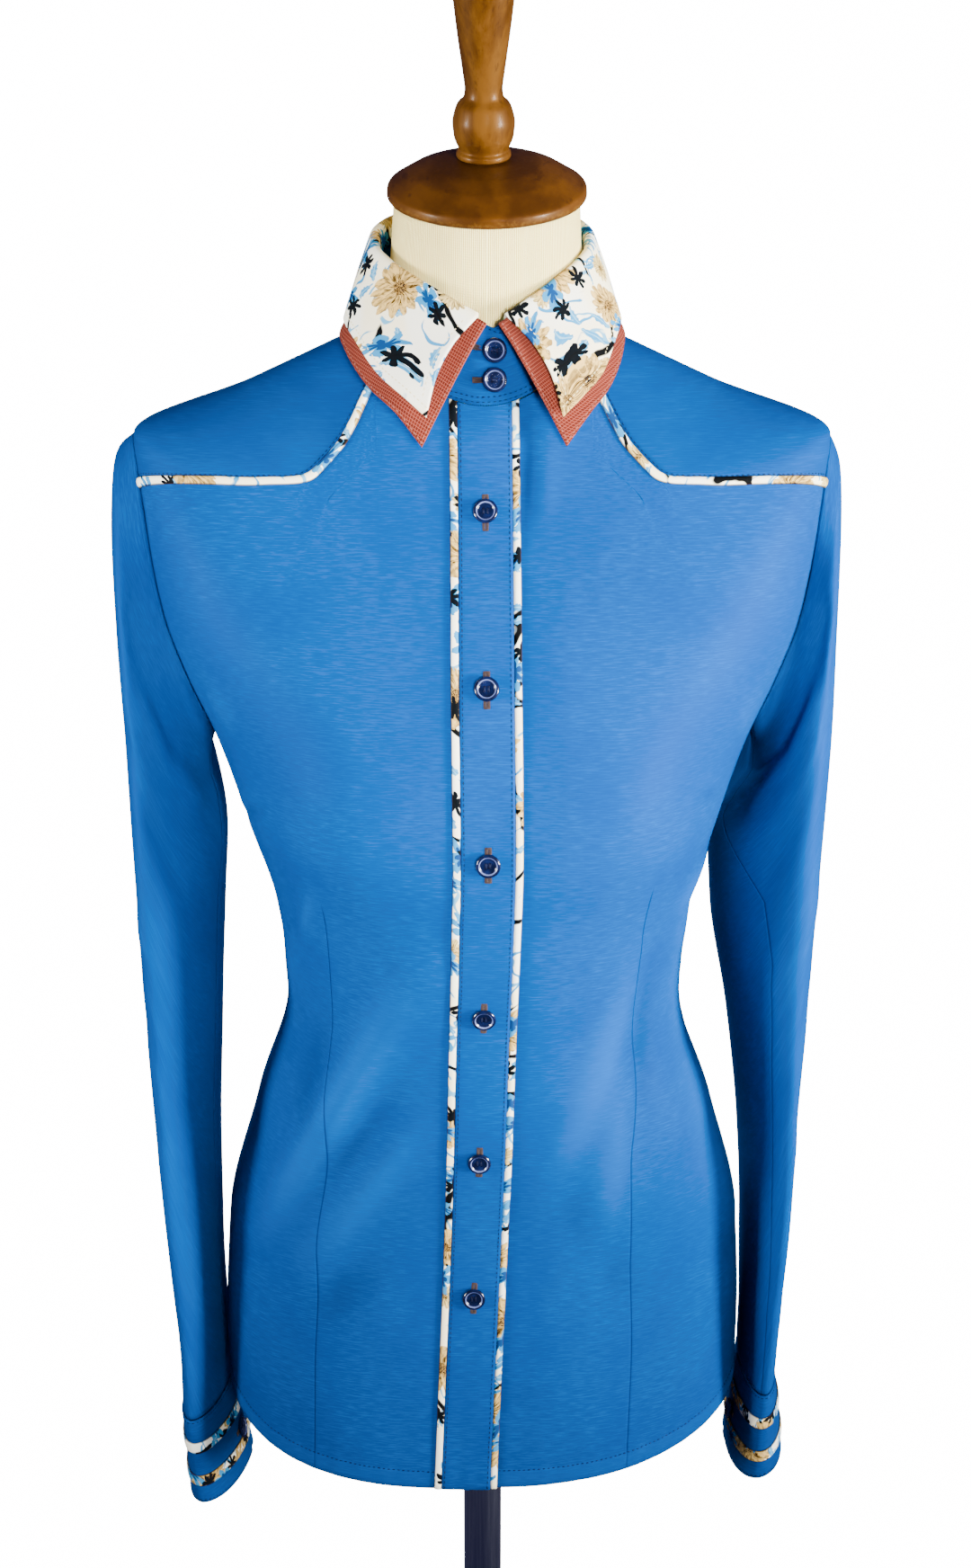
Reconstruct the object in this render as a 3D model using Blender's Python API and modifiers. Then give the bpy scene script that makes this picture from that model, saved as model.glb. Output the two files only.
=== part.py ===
"""A western shirt with a two-layer collar, worn by a limbless dress form on a round stand.

Every cloth piece is a wall on one of four surfaces: the torso, the sleeves, the cuffs or the collar.
Each surface is a stack of sections, and a short table gives one row for each section. A piece is a grid
of points on its surface, given a thickness with Solidify. Pieces that meet at a seam share the seam's
points, drawn back by half the seam gap each, and what lies on a panel uses the panel's points, moved out.

Lengths are millimetres until a mesh is made. The front faces -Y, +Z is up, and the origin is the middle of
the base's underside, on the floor. Right and left are the wearer's, so the right side is at -X.
"""

import math

import bmesh
import bpy
import numpy as np
from mathutils import Matrix, Vector

MM = 0.001

# Cloth, in millimetres
SHIRTING = 1.2
COLLAR_CLOTH = 1.4
SEAM_GAP = 0.34
LAY_GAP = 0.36
UNDER_SPARE = 0.35
PIPING_SPARE = 0.3
ARMHOLE_GAP = 1.25
ARMHOLE_CLEAR = 0.7
COLLAR_SPARE = 0.1
CUFF_SPARE = 0.25

# Placket and buttons
PLACKET_HALF = 14.65
PIPING_WIDTH = 4.0
UNDERLAP = 11.5
BUTTON_SIDES = 12
BUTTON_SHANK = 0.8
STAND_BUTTON_SHANK = 1.3
FIRST_BUTTON = 59.0
BUTTON_SPACING = 95.8
PLACKET_BUTTONS = 6
STAND_BUTTON_SHARES = (0.30, 0.68)

# Torso: one row for each ring. "down" is the distance down the centre front from the collar seam. A ring
# passes its front, its sides and its back at their own heights: the first runs round the neck, the third
# over both shoulder tips, the eighth under both arms, and the last is the hem, which dips between them.
# "front_x" is how far the centre front strays from the middle.
TORSO_COLUMNS = ("down", "half_width", "front_y", "side_y", "back_y",
                 "front_z", "side_z", "back_z", "square", "dip", "front_x")
TORSO_ROWS = (
    (0.0, 63.0, -67.0, -2.0, 62.0, 1350.0, 1391.0, 1405.0, 2.00, 0.0, 1.5),
    (30.0, 129.0, -74.0, -4.0, 76.0, 1322.0, 1361.0, 1368.0, 2.20, 0.0, 1.7),
    (60.0, 197.0, -84.0, -5.0, 88.0, 1294.0, 1331.0, 1332.0, 2.50, 0.0, 2.0),
    (88.0, 196.0, -96.0, -5.0, 97.0, 1267.0, 1302.0, 1298.0, 2.60, 0.0, 2.2),
    (120.0, 192.0, -110.0, -4.0, 103.0, 1240.0, 1266.0, 1262.0, 2.50, 0.0, 2.4),
    (150.0, 185.0, -122.0, -3.0, 105.0, 1211.0, 1230.0, 1228.0, 2.40, 0.0, 2.6),
    (180.0, 173.0, -130.0, -2.0, 104.0, 1184.0, 1196.0, 1194.0, 2.30, 0.0, 2.9),
    (208.0, 157.0, -134.5, 0.0, 101.0, 1157.0, 1160.0, 1160.0, 2.25, 0.0, 3.2),
    (252.0, 140.5, -137.0, 0.0, 94.0, 1113.0, 1113.0, 1113.0, 2.20, 0.0, 3.5),
    (305.0, 124.5, -129.0, 0.0, 85.0, 1060.0, 1060.0, 1060.0, 2.20, 0.0, 2.3),
    (366.0, 117.3, -115.5, 0.0, 77.0, 1000.0, 1000.0, 1000.0, 2.20, 0.0, 0.5),
    (442.0, 139.0, -105.0, 0.0, 88.0, 924.0, 924.0, 924.0, 2.20, 0.0, -1.5),
    (520.0, 160.0, -92.0, 0.0, 108.0, 846.0, 846.0, 846.0, 2.25, 0.0, -4.2),
    (600.0, 164.0, -98.0, 0.0, 118.0, 768.0, 772.0, 766.0, 2.30, 0.5, -7.5),
    (659.0, 163.0, -111.5, 0.0, 118.0, 709.0, 733.0, 690.0, 2.30, 4.0, -10.0),
)
TIP_DOWN = 60.0
UNDERARM_START = 150.0
ARMPIT_DOWN = 208.0
HEM_DOWN = 659.0

# Fullness of the fronts over the bust and the broadest soft folds: each runs from one end to the other,
# seen from the front, and stands "height" out of the cloth, fading over "width".
FOLD_COLUMNS = ("x1", "z1", "x2", "z2", "width", "height")
FOLD_ROWS = (
    (-80.0, 1132.0, -84.0, 1124.0, 46.0, 11.0),
    (80.0, 1132.0, 84.0, 1124.0, 46.0, 11.0),
    (-27.0, 1038.0, -92.0, 945.0, 17.0, 4.0),
    (100.0, 990.0, 118.0, 925.0, 15.0, 3.0),
)

# Armhole: how far round from the centre front and the centre back it cuts each ring, in degrees
ARMHOLE_COLUMNS = ("down", "front", "back")
ARMHOLE_ROWS = (
    (60.0, 90.0, 90.0),
    (70.0, 78.5, 78.0),
    (80.0, 75.0, 75.5),
    (100.0, 72.2, 73.0),
    (138.0, 73.0, 73.0),
    (158.0, 74.0, 73.0),
    (178.0, 74.5, 74.0),
    (195.0, 77.0, 77.0),
    (208.0, 90.0, 90.0),
)

# Where grid lines cross the ridge, the armhole and the side seam, down the torso's rings
RIDGE_LINES = (0.0, 10.0, 20.0, 30.0, 40.0, 50.0, 60.0)
BACK_COLUMNS = 17
YOKE_ARM_DOWN = 80.0
YOKE_ARM_LINES = (70.0, 80.0)
ARM_LINES = (85.0, 100.0, 118.0, 138.0, 158.0, 178.0, 195.0, 208.0)
SIDE_LINES = (232.0, 262.0, 296.0, 330.0, 366.0, 404.0, 446.0, 486.0, 524.0, 568.0, 614.0, 659.0)

# Top edge of a front, from the placket outwards: along the neck seam, down the yoke's inner edge to its
# point, then along the yoke's lower edge to the armhole. "round" is in degrees from the centre front.
FRONT_TOP_COLUMNS = ("round", "down")
FRONT_TOP_NECK = ((34.0, 0.0), (45.0, 0.0))
FRONT_TOP_YOKE = ((54.0, 0.0), (37.0, 24.0), (28.5, 47.0), (34.5, 53.5), (44.5, 60.0), (57.5, 69.0), (75.0, 80.0))

# How strongly each row below the top edge still follows it
TOP_FOLLOW = (1.0, 1.0, 0.80, 0.60, 0.42, 0.26, 0.13, 0.05)

# Sleeves: one row for each section, which passes its outer, inner, front and back points. Widths are from
# the shirt's middle; "out" and "in" are given for each side, because the two sleeves hang a little apart.
SLEEVE_COLUMNS = ("right_out", "right_in", "left_out", "left_in", "out_z", "in_z", "right_turn", "left_turn",
                  "back_turn", "front_y", "front_z", "back_y", "back_z", "square")
SLEEVE_ROWS = (
    (207.0, 161.5, 201.5, 161.5, 1321.0, 1146.0, 0.72, 0.72, 0.70, -52.0, 1236.0, 54.0, 1236.0, 2.0),
    (208.5, 162.5, 202.5, 161.0, 1292.0, 1131.0, 0.74, 0.74, 0.66, -58.0, 1210.0, 60.0, 1210.0, 2.0),
    (206.5, 159.0, 201.0, 151.0, 1242.0, 1114.0, 0.76, 0.76, 0.58, -63.0, 1171.0, 64.0, 1171.0, 2.0),
    (203.5, 157.5, 199.0, 139.5, 1166.0, 1088.0, 0.76, 0.76, 0.50, -67.0, 1118.0, 66.0, 1118.0, 2.0),
    (201.0, 162.0, 195.0, 143.0, 1070.0, 1040.0, 0.76, 0.76, 0.46, -68.0, 1052.0, 64.0, 1048.0, 2.1),
    (198.5, 166.5, 192.0, 155.5, 975.0, 965.0, 0.76, 0.76, 0.46, -67.0, 970.0, 60.0, 966.0, 2.1),
    (195.5, 169.5, 190.0, 164.5, 890.0, 885.0, 0.74, 0.72, 0.46, -65.0, 888.0, 56.0, 884.0, 2.1),
    (193.0, 169.5, 189.0, 168.0, 815.0, 812.0, 0.72, 0.66, 0.48, -63.0, 813.0, 50.0, 808.0, 2.1),
    (190.0, 167.5, 187.5, 168.0, 760.0, 757.0, 0.72, 0.58, 0.50, -62.0, 761.0, 44.0, 753.0, 2.1),
    (189.0, 166.5, 186.0, 167.5, 723.0, 717.0, 0.72, 0.52, 0.50, -61.0, 723.0, 38.0, 711.0, 2.1),
)
SLEEVE_LEAN = 0.22
LEFT_RISE = 18.0
LEFT_RISE_TOP = 1000.0
LEFT_RISE_BOTTOM = 730.0
SLEEVE_STEPS = (0.0, 1.0, 2.0, 3.0, 4.0, 4.5, 5.0, 5.5, 6.0, 6.5, 7.0, 7.5, 8.0, 9.0, 10.0)

# Cuffs: the same points at the top and the bottom edge of each
CUFF_ROWS = (
    (189.5, 166.0, 186.5, 167.5, 722.3, 716.3, 0.72, 0.50, 0.50, -61.5, 722.3, 38.5, 710.3, 2.2),
    (186.0, 155.0, 194.0, 160.0, 664.0, 656.0, 0.72, 0.44, 0.44, -62.0, 664.0, 38.0, 650.0, 2.2),
)
CUFF_CLOTH = 1.6
CUFF_AROUND = 20
CUFF_OPENING = math.radians(196.0)
CUFF_OVERLAP = math.radians(34.0)
CUFF_TUCK_START = 1.6
CUFF_TUCK_LENGTH = 0.6
CUFF_LINES = (0.0, 0.26, 0.39, 0.66, 0.79, 1.0)
CUFF_STRIPS = (("upper", 1, 2), ("lower", 3, 4))

# Collar: half of it, from the centre back to the front. The fold, the middle of the fall and its edge.
COLLAR_COLUMNS = ("fold_x", "fold_y", "fold_z", "mid_x", "mid_y", "mid_z", "edge_x", "edge_y", "edge_z")
COLLAR_ROWS = (
    (0.0, 64.0, 1454.0, 0.0, 74.0, 1427.0, 0.0, 80.0, 1396.0),
    (21.0, 61.0, 1453.5, 24.0, 71.0, 1427.0, 25.0, 77.0, 1396.5),
    (40.0, 52.0, 1451.5, 46.0, 60.0, 1426.0, 49.0, 65.0, 1397.5),
    (55.5, 35.0, 1447.0, 62.5, 39.0, 1424.0, 68.0, 42.0, 1400.5),
    (62.0, 12.0, 1440.5, 70.0, 12.0, 1419.0, 76.5, 13.0, 1399.0),
    (61.0, -12.0, 1433.0, 70.0, -14.0, 1412.0, 77.0, -17.0, 1394.5),
    (52.5, -33.5, 1424.5, 62.5, -38.0, 1400.0, 70.5, -42.5, 1382.5),
    (38.5, -50.0, 1415.5, 53.0, -58.0, 1386.0, 60.5, -63.0, 1367.0),
    (22.5, -62.0, 1406.0, 39.5, -72.0, 1376.5, 48.5, -78.0, 1356.5),
    (7.5, -69.0, 1397.5, 26.5, -80.0, 1375.0, 36.5, -86.0, 1346.0),
)
COLLAR_TURN = 5.5
NECK_REACH = 67.0
COLLAR_FALLWAYS = 3

# Under collar: how far it shows beyond the upper collar's edge, and its own front edge from fold to tip
UNDER_BORDER = 9.0
UNDER_FRONT = ((3.2, -70.0, 1393.5), (17.0, -77.0, 1371.0), (38.8, -83.0, 1330.0))

# Stand: how far round the neck seam each column of a half starts, in degrees from the centre front, then
# the columns of its two ends past the centre front with the share of the full height they reach.
STAND_ROUND = (180.0, 160.0, 140.0, 116.0, 94.0, 73.0, 53.0, 36.0, 20.0, 7.0)
STAND_OUTER_END = ((0.0, 1.0), (7.0, 0.95), (12.5, 0.84), (17.0, 0.62), (19.5, 0.36))
STAND_INNER_END = ((0.0, 1.0), (7.0, 0.97), (13.0, 0.90))
STAND_LEAN = 3.0
STAND_DROP = 2.5
STAND_LIFT = 2.0
STAND_END_MIDDLE = (0.0, -64.2, 1391.0)
STAND_END_NARROW = 0.93
STAND_END_CURVE = 130.0

# Turned profiles, from the top down: (radius, height above the piece's own foot)
CAP_PROFILE = ((0.0, 21.0), (16.0, 20.4), (30.0, 18.2), (42.0, 14.0), (50.6, 8.6), (55.0, 6.0), (55.4, 1.4),
               (54.4, 0.0), (0.0, 0.0))
FINIAL_PROFILE = ((0.0, 112.0), (9.0, 111.0), (14.5, 107.0), (17.2, 97.0), (16.5, 85.0), (14.2, 66.0), (11.8, 49.0),
                  (10.1, 37.0), (10.8, 32.0), (14.6, 29.0), (17.3, 20.0), (16.2, 10.5), (13.4, 4.8), (15.0, 3.0),
                  (15.0, 0.0), (0.0, 0.0))
BUTTON_PROFILE = ((0.0, 2.0), (4.3, 2.0), (5.2, 3.0), (6.3, 3.0), (6.75, 2.0), (5.2, 0.0), (0.0, 0.0))

# Dress form
FORM_AROUND = 32
FORM_FRONT_INSET = 2.2
FORM_INSET_ROWS = ((0.0, 5.0), (10.0, 2.4), (30.0, 1.6), (50.0, 2.5), (60.0, 4.2), (110.0, 4.2), (208.0, 5.0),
                   (366.0, 8.5), (520.0, 7.0), (659.0, 7.5))
FORM_LINES = (0.0, 10.0, 20.0, 30.0, 40.0, 50.0, 60.0, 80.0, 100.0, 124.0, 150.0, 180.0, 208.0, 250.0, 300.0,
              350.0, 404.0, 460.0, 520.0, 575.0)
FORM_UNDERSIDE_Z = 738.0
FORM_MIDDLE_Z = 1150.0
NECK_X = 2.8
NECK_TOP_Y = -7.0
NECK_RADIUS = 51.5
NECK_TOP_Z = 1459.5
NECK_RISE = (0.10, 0.28, 0.62, 1.0)
NECK_FLARE = (0.36, 0.36, 1.0)
CAP_TILT = math.radians(19.7)
FINIAL_SHIFT = -1.8
POLE_RADIUS = 12.5
FLANGE_RADIUS = 34.0
FLANGE_THICKNESS = 5.0
BASE_PROFILE = ((0.0, 44.0), (22.0, 44.0), (28.0, 40.0), (31.0, 29.0), (150.0, 24.0), (182.0, 19.0),
                (190.0, 8.0), (189.0, 0.0), (0.0, 0.0))
REST_GAP = 0.3

MATERIALS = {
    # colour (linear), roughness, metallic
    "blue_shirting": ((0.035, 0.234, 0.604, 1.0), 0.62, 0.0),
    "floral_cotton": ((0.78, 0.74, 0.62, 1.0), 0.70, 0.0),
    "rust_check": ((0.41, 0.12, 0.085, 1.0), 0.75, 0.0),
    "navy_button": ((0.008, 0.011, 0.035, 1.0), 0.18, 0.0),
    "cream_jersey": ((0.80, 0.74, 0.58, 1.0), 0.85, 0.0),
    "turned_beech": ((0.25, 0.085, 0.022, 1.0), 0.38, 0.0),
    "steel_pole": ((0.32, 0.32, 0.33, 1.0), 0.35, 1.0),
}


# ----------------------------------------------------------------------------------------------- surfaces

def smooth_column(stations, values, at):
    """A monotone cubic through one column of a table, so that no ripple forms between two rows."""
    x = np.asarray(stations, float)
    y = np.asarray(values, float)
    step = np.diff(x)
    slope = np.diff(y) / step
    tangent = np.zeros_like(y)
    tangent[0], tangent[-1] = slope[0], slope[-1]
    if len(x) > 2:
        before, after = slope[:-1], slope[1:]
        agree = before * after > 0.0
        weight_a = 2.0 * step[1:] + step[:-1]
        weight_b = step[1:] + 2.0 * step[:-1]
        safe_before = np.where(agree, before, 1.0)
        safe_after = np.where(agree, after, 1.0)
        mean = (weight_a + weight_b) / (weight_a / safe_before + weight_b / safe_after)
        tangent[1:-1] = np.where(agree, mean, 0.0)
    at = np.asarray(at, float)
    i = np.clip(np.searchsorted(x, at, side="right") - 1, 0, len(step) - 1)
    t = (at - x[i]) / step[i]
    return (y[i] * (1.0 + 2.0 * t) * (1.0 - t) ** 2 + y[i + 1] * t * t * (3.0 - 2.0 * t)
            + step[i] * (tangent[i] * t * (1.0 - t) ** 2 + tangent[i + 1] * t * t * (t - 1.0)))


def torso_columns(down):
    """The torso table's columns at these distances down the front, by name."""
    stations = [row[0] for row in TORSO_ROWS]
    return {name: smooth_column(stations, [row[k] for row in TORSO_ROWS], down)
            for k, name in enumerate(TORSO_COLUMNS) if k > 0}


def fold_height(x, z):
    """How far the folds' table lifts the cloth at x, z, seen from the front."""
    height = np.zeros(np.broadcast(x, z).shape)
    for x1, z1, x2, z2, width, rise in FOLD_ROWS:
        along = ((x - x1) * (x2 - x1) + (z - z1) * (z2 - z1)) / ((x2 - x1) ** 2 + (z2 - z1) ** 2)
        along = np.clip(along, 0.0, 1.0)
        distance = np.hypot(x - x1 - along * (x2 - x1), z - z1 - along * (z2 - z1))
        height += rise * np.exp(-(distance / width) ** 2)
    return height


def torso(angle, down, folded=True):
    """Points on the torso: angle in radians from the centre front towards the wearer's left (+X)."""
    angle, down = np.broadcast_arrays(np.asarray(angle, float), np.asarray(down, float))
    c = torso_columns(down)
    sine, cosine = np.sin(angle), np.cos(angle)
    power = 2.0 / c["square"]
    front = cosine > 0.0
    x = c["half_width"] * np.sign(sine) * np.abs(sine) ** power
    reach = np.where(front, c["front_y"], c["back_y"]) - c["side_y"]
    y = c["side_y"] + reach * np.abs(cosine) ** power
    rise = np.where(front, c["front_z"], c["back_z"]) - c["side_z"]
    z = c["side_z"] + rise * cosine ** 2 - c["dip"] * np.sin(2.0 * angle) ** 2
    x = x + np.where(front, c["front_x"], 0.0) * cosine ** 2
    if folded:
        lift = fold_height(x, z) * np.clip(cosine * 3.0, 0.0, 1.0)
        x = x + lift * sine * 0.4
        y = y - lift
    return np.stack([x, y, z], axis=-1)


def angle_at_width(width, down):
    """The angle at which a ring is this far from the middle, near its front."""
    c = torso_columns(np.asarray(down, float))
    return np.arcsin(np.clip(width / c["half_width"], 0.0, 1.0) ** (c["square"] / 2.0))


def width_at_angle(angle, down):
    """The reverse of angle_at_width."""
    c = torso_columns(np.asarray(down, float))
    return c["half_width"] * np.sin(angle) ** (2.0 / c["square"])


def armhole_angle(down, which):
    """Where a panel's side edge lies on a ring, in radians from its own centre line."""
    down = np.asarray(down, float)
    stations = [row[0] for row in ARMHOLE_ROWS]
    column = [row[ARMHOLE_COLUMNS.index(which)] for row in ARMHOLE_ROWS]
    inside = (down > TIP_DOWN) & (down < ARMPIT_DOWN)
    degrees = np.interp(np.clip(down, TIP_DOWN, ARMPIT_DOWN), stations, column)
    return np.radians(np.where(inside, degrees, 90.0))


def grid_normals(points):
    """Unit normals of a grid, to the right of its columns and up its rows."""
    across = np.gradient(points, axis=1)
    along = np.gradient(points, axis=0)
    normal = np.cross(across, along)
    return normal / np.maximum(np.linalg.norm(normal, axis=-1, keepdims=True), 1e-9)


def moved_out(points, distance, outward):
    """A grid's points moved along its normals, which are turned to agree with the outward direction."""
    normal = grid_normals(points)
    sign = np.sign(np.sum(normal * outward, axis=-1, keepdims=True))
    return points + normal * np.where(sign == 0.0, 1.0, sign) * np.asarray(distance)[..., None]


def away_from_axis(points):
    """Directions level with the floor, out of the torso's vertical middle line."""
    flat = points * np.array([1.0, 1.0, 0.0])
    return flat / np.maximum(np.linalg.norm(flat, axis=-1, keepdims=True), 1e-9)


def drawn_in(points, edges):
    """Pull a grid's edges back along the surface: edges maps first_row, last_row, first_column and
    last_column to distances."""
    points = points.copy()
    pulls = {"first_row": (points[1] - points[0], 0, 0), "last_row": (points[-2] - points[-1], 0, -1),
             "first_column": (points[:, 1] - points[:, 0], 1, 0),
             "last_column": (points[:, -2] - points[:, -1], 1, -1)}
    for edge, distance in edges.items():
        step, axis, index = pulls[edge]
        step = step / np.maximum(np.linalg.norm(step, axis=-1, keepdims=True), 1e-9)
        if axis == 0:
            points[index] += step * distance
        else:
            points[:, index] += step * distance
    return points


# ------------------------------------------------------------------------------------------------- meshes

def new_material(name):
    """A Principled BSDF with the finish's colour, roughness and metallic value."""
    material = bpy.data.materials.get(name)
    if material is None:
        colour, roughness, metallic = MATERIALS[name]
        material = bpy.data.materials.new(name)
        material.use_nodes = True
        shader = material.node_tree.nodes["Principled BSDF"]
        shader.inputs["Base Color"].default_value = colour
        shader.inputs["Roughness"].default_value = roughness
        shader.inputs["Metallic"].default_value = metallic
        material.diffuse_color = colour
    return material


def add_object(name, mesh, material_name, collection):
    """Put a mesh in the collection as one named piece with its own material."""
    piece = bpy.data.objects.new(name, mesh)
    mesh.materials.append(new_material(material_name))
    collection.objects.link(piece)
    return piece


def cloth_piece(name, points, thickness, material_name, collection, closed=False):
    """A wall of cloth on a grid of points; closed joins the last column to the first."""
    rows, columns = points.shape[:2]
    index = np.arange(rows * columns).reshape(rows, columns)
    if closed:
        index = np.concatenate([index, index[:, :1]], axis=1)
    faces = np.stack([index[:-1, :-1], index[:-1, 1:], index[1:, 1:], index[1:, :-1]], axis=-1).reshape(-1, 4)
    mesh = bpy.data.meshes.new(name)
    mesh.from_pydata((points.reshape(-1, 3) * MM).tolist(), [], faces.tolist())
    triangulated = bmesh.new()
    triangulated.from_mesh(mesh)
    bmesh.ops.recalc_face_normals(triangulated, faces=triangulated.faces)
    triangulated.to_mesh(mesh)
    triangulated.free()
    mesh.shade_smooth()
    piece = add_object(name, mesh, material_name, collection)
    wall = piece.modifiers.new("wall", "SOLIDIFY")
    wall.thickness = thickness * MM
    wall.offset = 0.0
    return piece


def turned_piece(name, profile, sides, material_name, collection):
    """A turned shape: a profile of (radius, height) pairs, from its top to its bottom, with a Screw."""
    mesh = bpy.data.meshes.new(name)
    points = [(radius * MM, 0.0, height * MM) for radius, height in profile]
    mesh.from_pydata(points, [(i, i + 1) for i in range(len(points) - 1)], [])
    piece = add_object(name, mesh, material_name, collection)
    screw = piece.modifiers.new("turn", "SCREW")
    screw.steps = sides
    screw.render_steps = sides
    screw.use_merge_vertices = True
    screw.merge_threshold = 0.00002
    screw.use_smooth_shade = True
    return piece


def placed(piece, point, up):
    """Stand a piece that is modelled along +Z at a point, with its top towards up."""
    turn = Vector(up).to_track_quat("Z", "Y").to_matrix().to_4x4()
    piece.matrix_world = Matrix.Translation(Vector(point) * MM) @ turn
    return piece


# ----------------------------------------------------------------------------------------------- fronts

PANEL_LINES = (YOKE_ARM_DOWN,) + ARM_LINES + SIDE_LINES
PIPING_LINE = 1
FIRST_YOKE_COLUMN = 5 + len(FRONT_TOP_NECK)


def widths_near_placket(right):
    """Distances from the centre front of a front's five inner columns, towards its own side seam."""
    free_edge = -(PLACKET_HALF - SEAM_GAP / 2.0) if right else -UNDERLAP
    third = PLACKET_HALF / 3.0
    return np.array([free_edge, -third, third, PLACKET_HALF + SEAM_GAP / 2.0, PLACKET_HALF + PIPING_WIDTH])


def angle_at_signed_width(width, down):
    """angle_at_width for points on either side of the centre front."""
    return np.sign(width) * angle_at_width(np.abs(width), down)


def step_across(angle, down, distance):
    """Move a line of surface points sideways, away from the yoke, by a distance along the cloth."""
    small = 0.001
    here = torso(angle, down, folded=False)
    by_angle = (torso(angle + small, down, folded=False) - here) / small
    by_down = (torso(angle, down + small, folded=False) - here) / small
    along = np.gradient(here, axis=0)
    along /= np.linalg.norm(along, axis=-1, keepdims=True)
    normal = np.cross(by_angle, by_down)
    across = np.cross(normal, along)
    across /= np.linalg.norm(across, axis=-1, keepdims=True)
    across *= np.sign(across @ np.array([-1.0, 0.0, -1.0]))[:, None] * distance
    aa, ab, bb = (np.sum(u * v, axis=-1) for u, v in ((by_angle, by_angle), (by_angle, by_down), (by_down, by_down)))
    ra, rb = np.sum(by_angle * across, axis=-1), np.sum(by_down * across, axis=-1)
    determinant = aa * bb - ab * ab
    return angle + (ra * bb - rb * ab) / determinant, down + (rb * aa - ra * ab) / determinant


def inner_lines():
    """How far down the front each grid line crosses the placket."""
    follow = np.array(TOP_FOLLOW + (0.0,) * (len(PANEL_LINES) - len(TOP_FOLLOW)))
    lines = np.array(PANEL_LINES) + follow * (PIPING_WIDTH + SEAM_GAP - PANEL_LINES[PIPING_LINE])
    lines[0] = 0.0
    return lines


def front_grid(right):
    """A front's grid on the torso: its rows run down, and its columns run out to its own side seam."""
    inner = widths_near_placket(right)
    top = FRONT_TOP_NECK + FRONT_TOP_YOKE
    top_angle = np.radians([row[0] for row in top])
    top_down = np.array([row[1] for row in top], float)
    line_angle, line_down = step_across(top_angle, top_down, PIPING_WIDTH + SEAM_GAP)
    line_down[:len(FRONT_TOP_NECK)] = PIPING_WIDTH + SEAM_GAP
    line_down[-1] = PANEL_LINES[PIPING_LINE]
    line_width = width_at_angle(line_angle, line_down)
    share = (np.arange(len(top)) + 1.0) / len(top)

    angles, downs = [], []
    for row, (level, inner_down) in enumerate(zip(PANEL_LINES, inner_lines())):
        follow = TOP_FOLLOW[row] if row < len(TOP_FOLLOW) else 0.0
        if row == 0:
            down = top_down
            angle = top_angle
        else:
            down = level + follow * (line_down - PANEL_LINES[PIPING_LINE])
            start = angle_at_width(PLACKET_HALF + PIPING_WIDTH, level)
            ring_angle = start + (armhole_angle(level, "front") - start) * share
            width = follow * line_width + (1.0 - follow) * width_at_angle(ring_angle, level)
            angle = angle_at_width(width, down)
            angle[-1] = armhole_angle(level, "front")
        angles.append(np.concatenate([angle_at_signed_width(inner, inner_down), angle]))
        downs.append(np.concatenate([np.full(len(inner), inner_down), down]))
    return torso(np.array(angles) * side_sign(right), np.array(downs))


def mirrored(points, right):
    """Turn a grid that is laid out towards +X to the wearer's right side when asked."""
    return points * np.array([-1.0, 1.0, 1.0]) if right else points


def side_name(right):
    """The wearer's side, as the names of pieces give it."""
    return "right" if right else "left"


def side_sign(right):
    """The sign of X on that side."""
    return -1.0 if right else 1.0


def build_front(right, collection):
    """One front, its yoke piping, and for the right front its placket and both placket pipings."""
    name = side_name(right)
    grid = front_grid(right)
    outward = away_from_axis(grid)
    layer = SHIRTING + LAY_GAP
    panel = grid
    if not right:
        under = np.zeros(grid.shape[:2])
        under[:, :5] = -(layer + UNDER_SPARE)
        panel = moved_out(grid, under, outward)
    panel = drawn_in(panel, {"first_row": SEAM_GAP / 2.0, "last_column": SEAM_GAP / 2.0})
    cloth_piece("front_" + name, panel, SHIRTING, "blue_shirting", collection)

    raised = moved_out(grid, np.full(grid.shape[:2], layer), outward)
    piping = moved_out(grid, np.full(grid.shape[:2], layer + PIPING_SPARE), outward)
    piping = piping[:PIPING_LINE + 1, FIRST_YOKE_COLUMN:]
    piping = drawn_in(piping, {"first_row": SEAM_GAP / 2.0, "last_column": SEAM_GAP, "first_column": SEAM_GAP,
                               "last_row": SEAM_GAP})
    cloth_piece("yoke_piping_" + name, piping, SHIRTING, "floral_cotton", collection)

    if right:
        band = drawn_in(raised[:, :4], {"first_row": SEAM_GAP / 2.0, "last_column": SEAM_GAP})
        cloth_piece("placket", band, SHIRTING, "blue_shirting", collection)
        strip = drawn_in(raised[:, 3:5], {"first_row": SEAM_GAP / 2.0, "last_column": SEAM_GAP / 2.0})
        cloth_piece("placket_piping_right", strip, SHIRTING, "floral_cotton", collection)
    else:
        strip = drawn_in(grid[:, 3:5], {"first_row": SEAM_GAP / 2.0, "last_column": SEAM_GAP / 2.0,
                                        "first_column": SEAM_GAP / 2.0})
        cloth_piece("placket_piping_left", strip, SHIRTING, "floral_cotton", collection)


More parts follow.
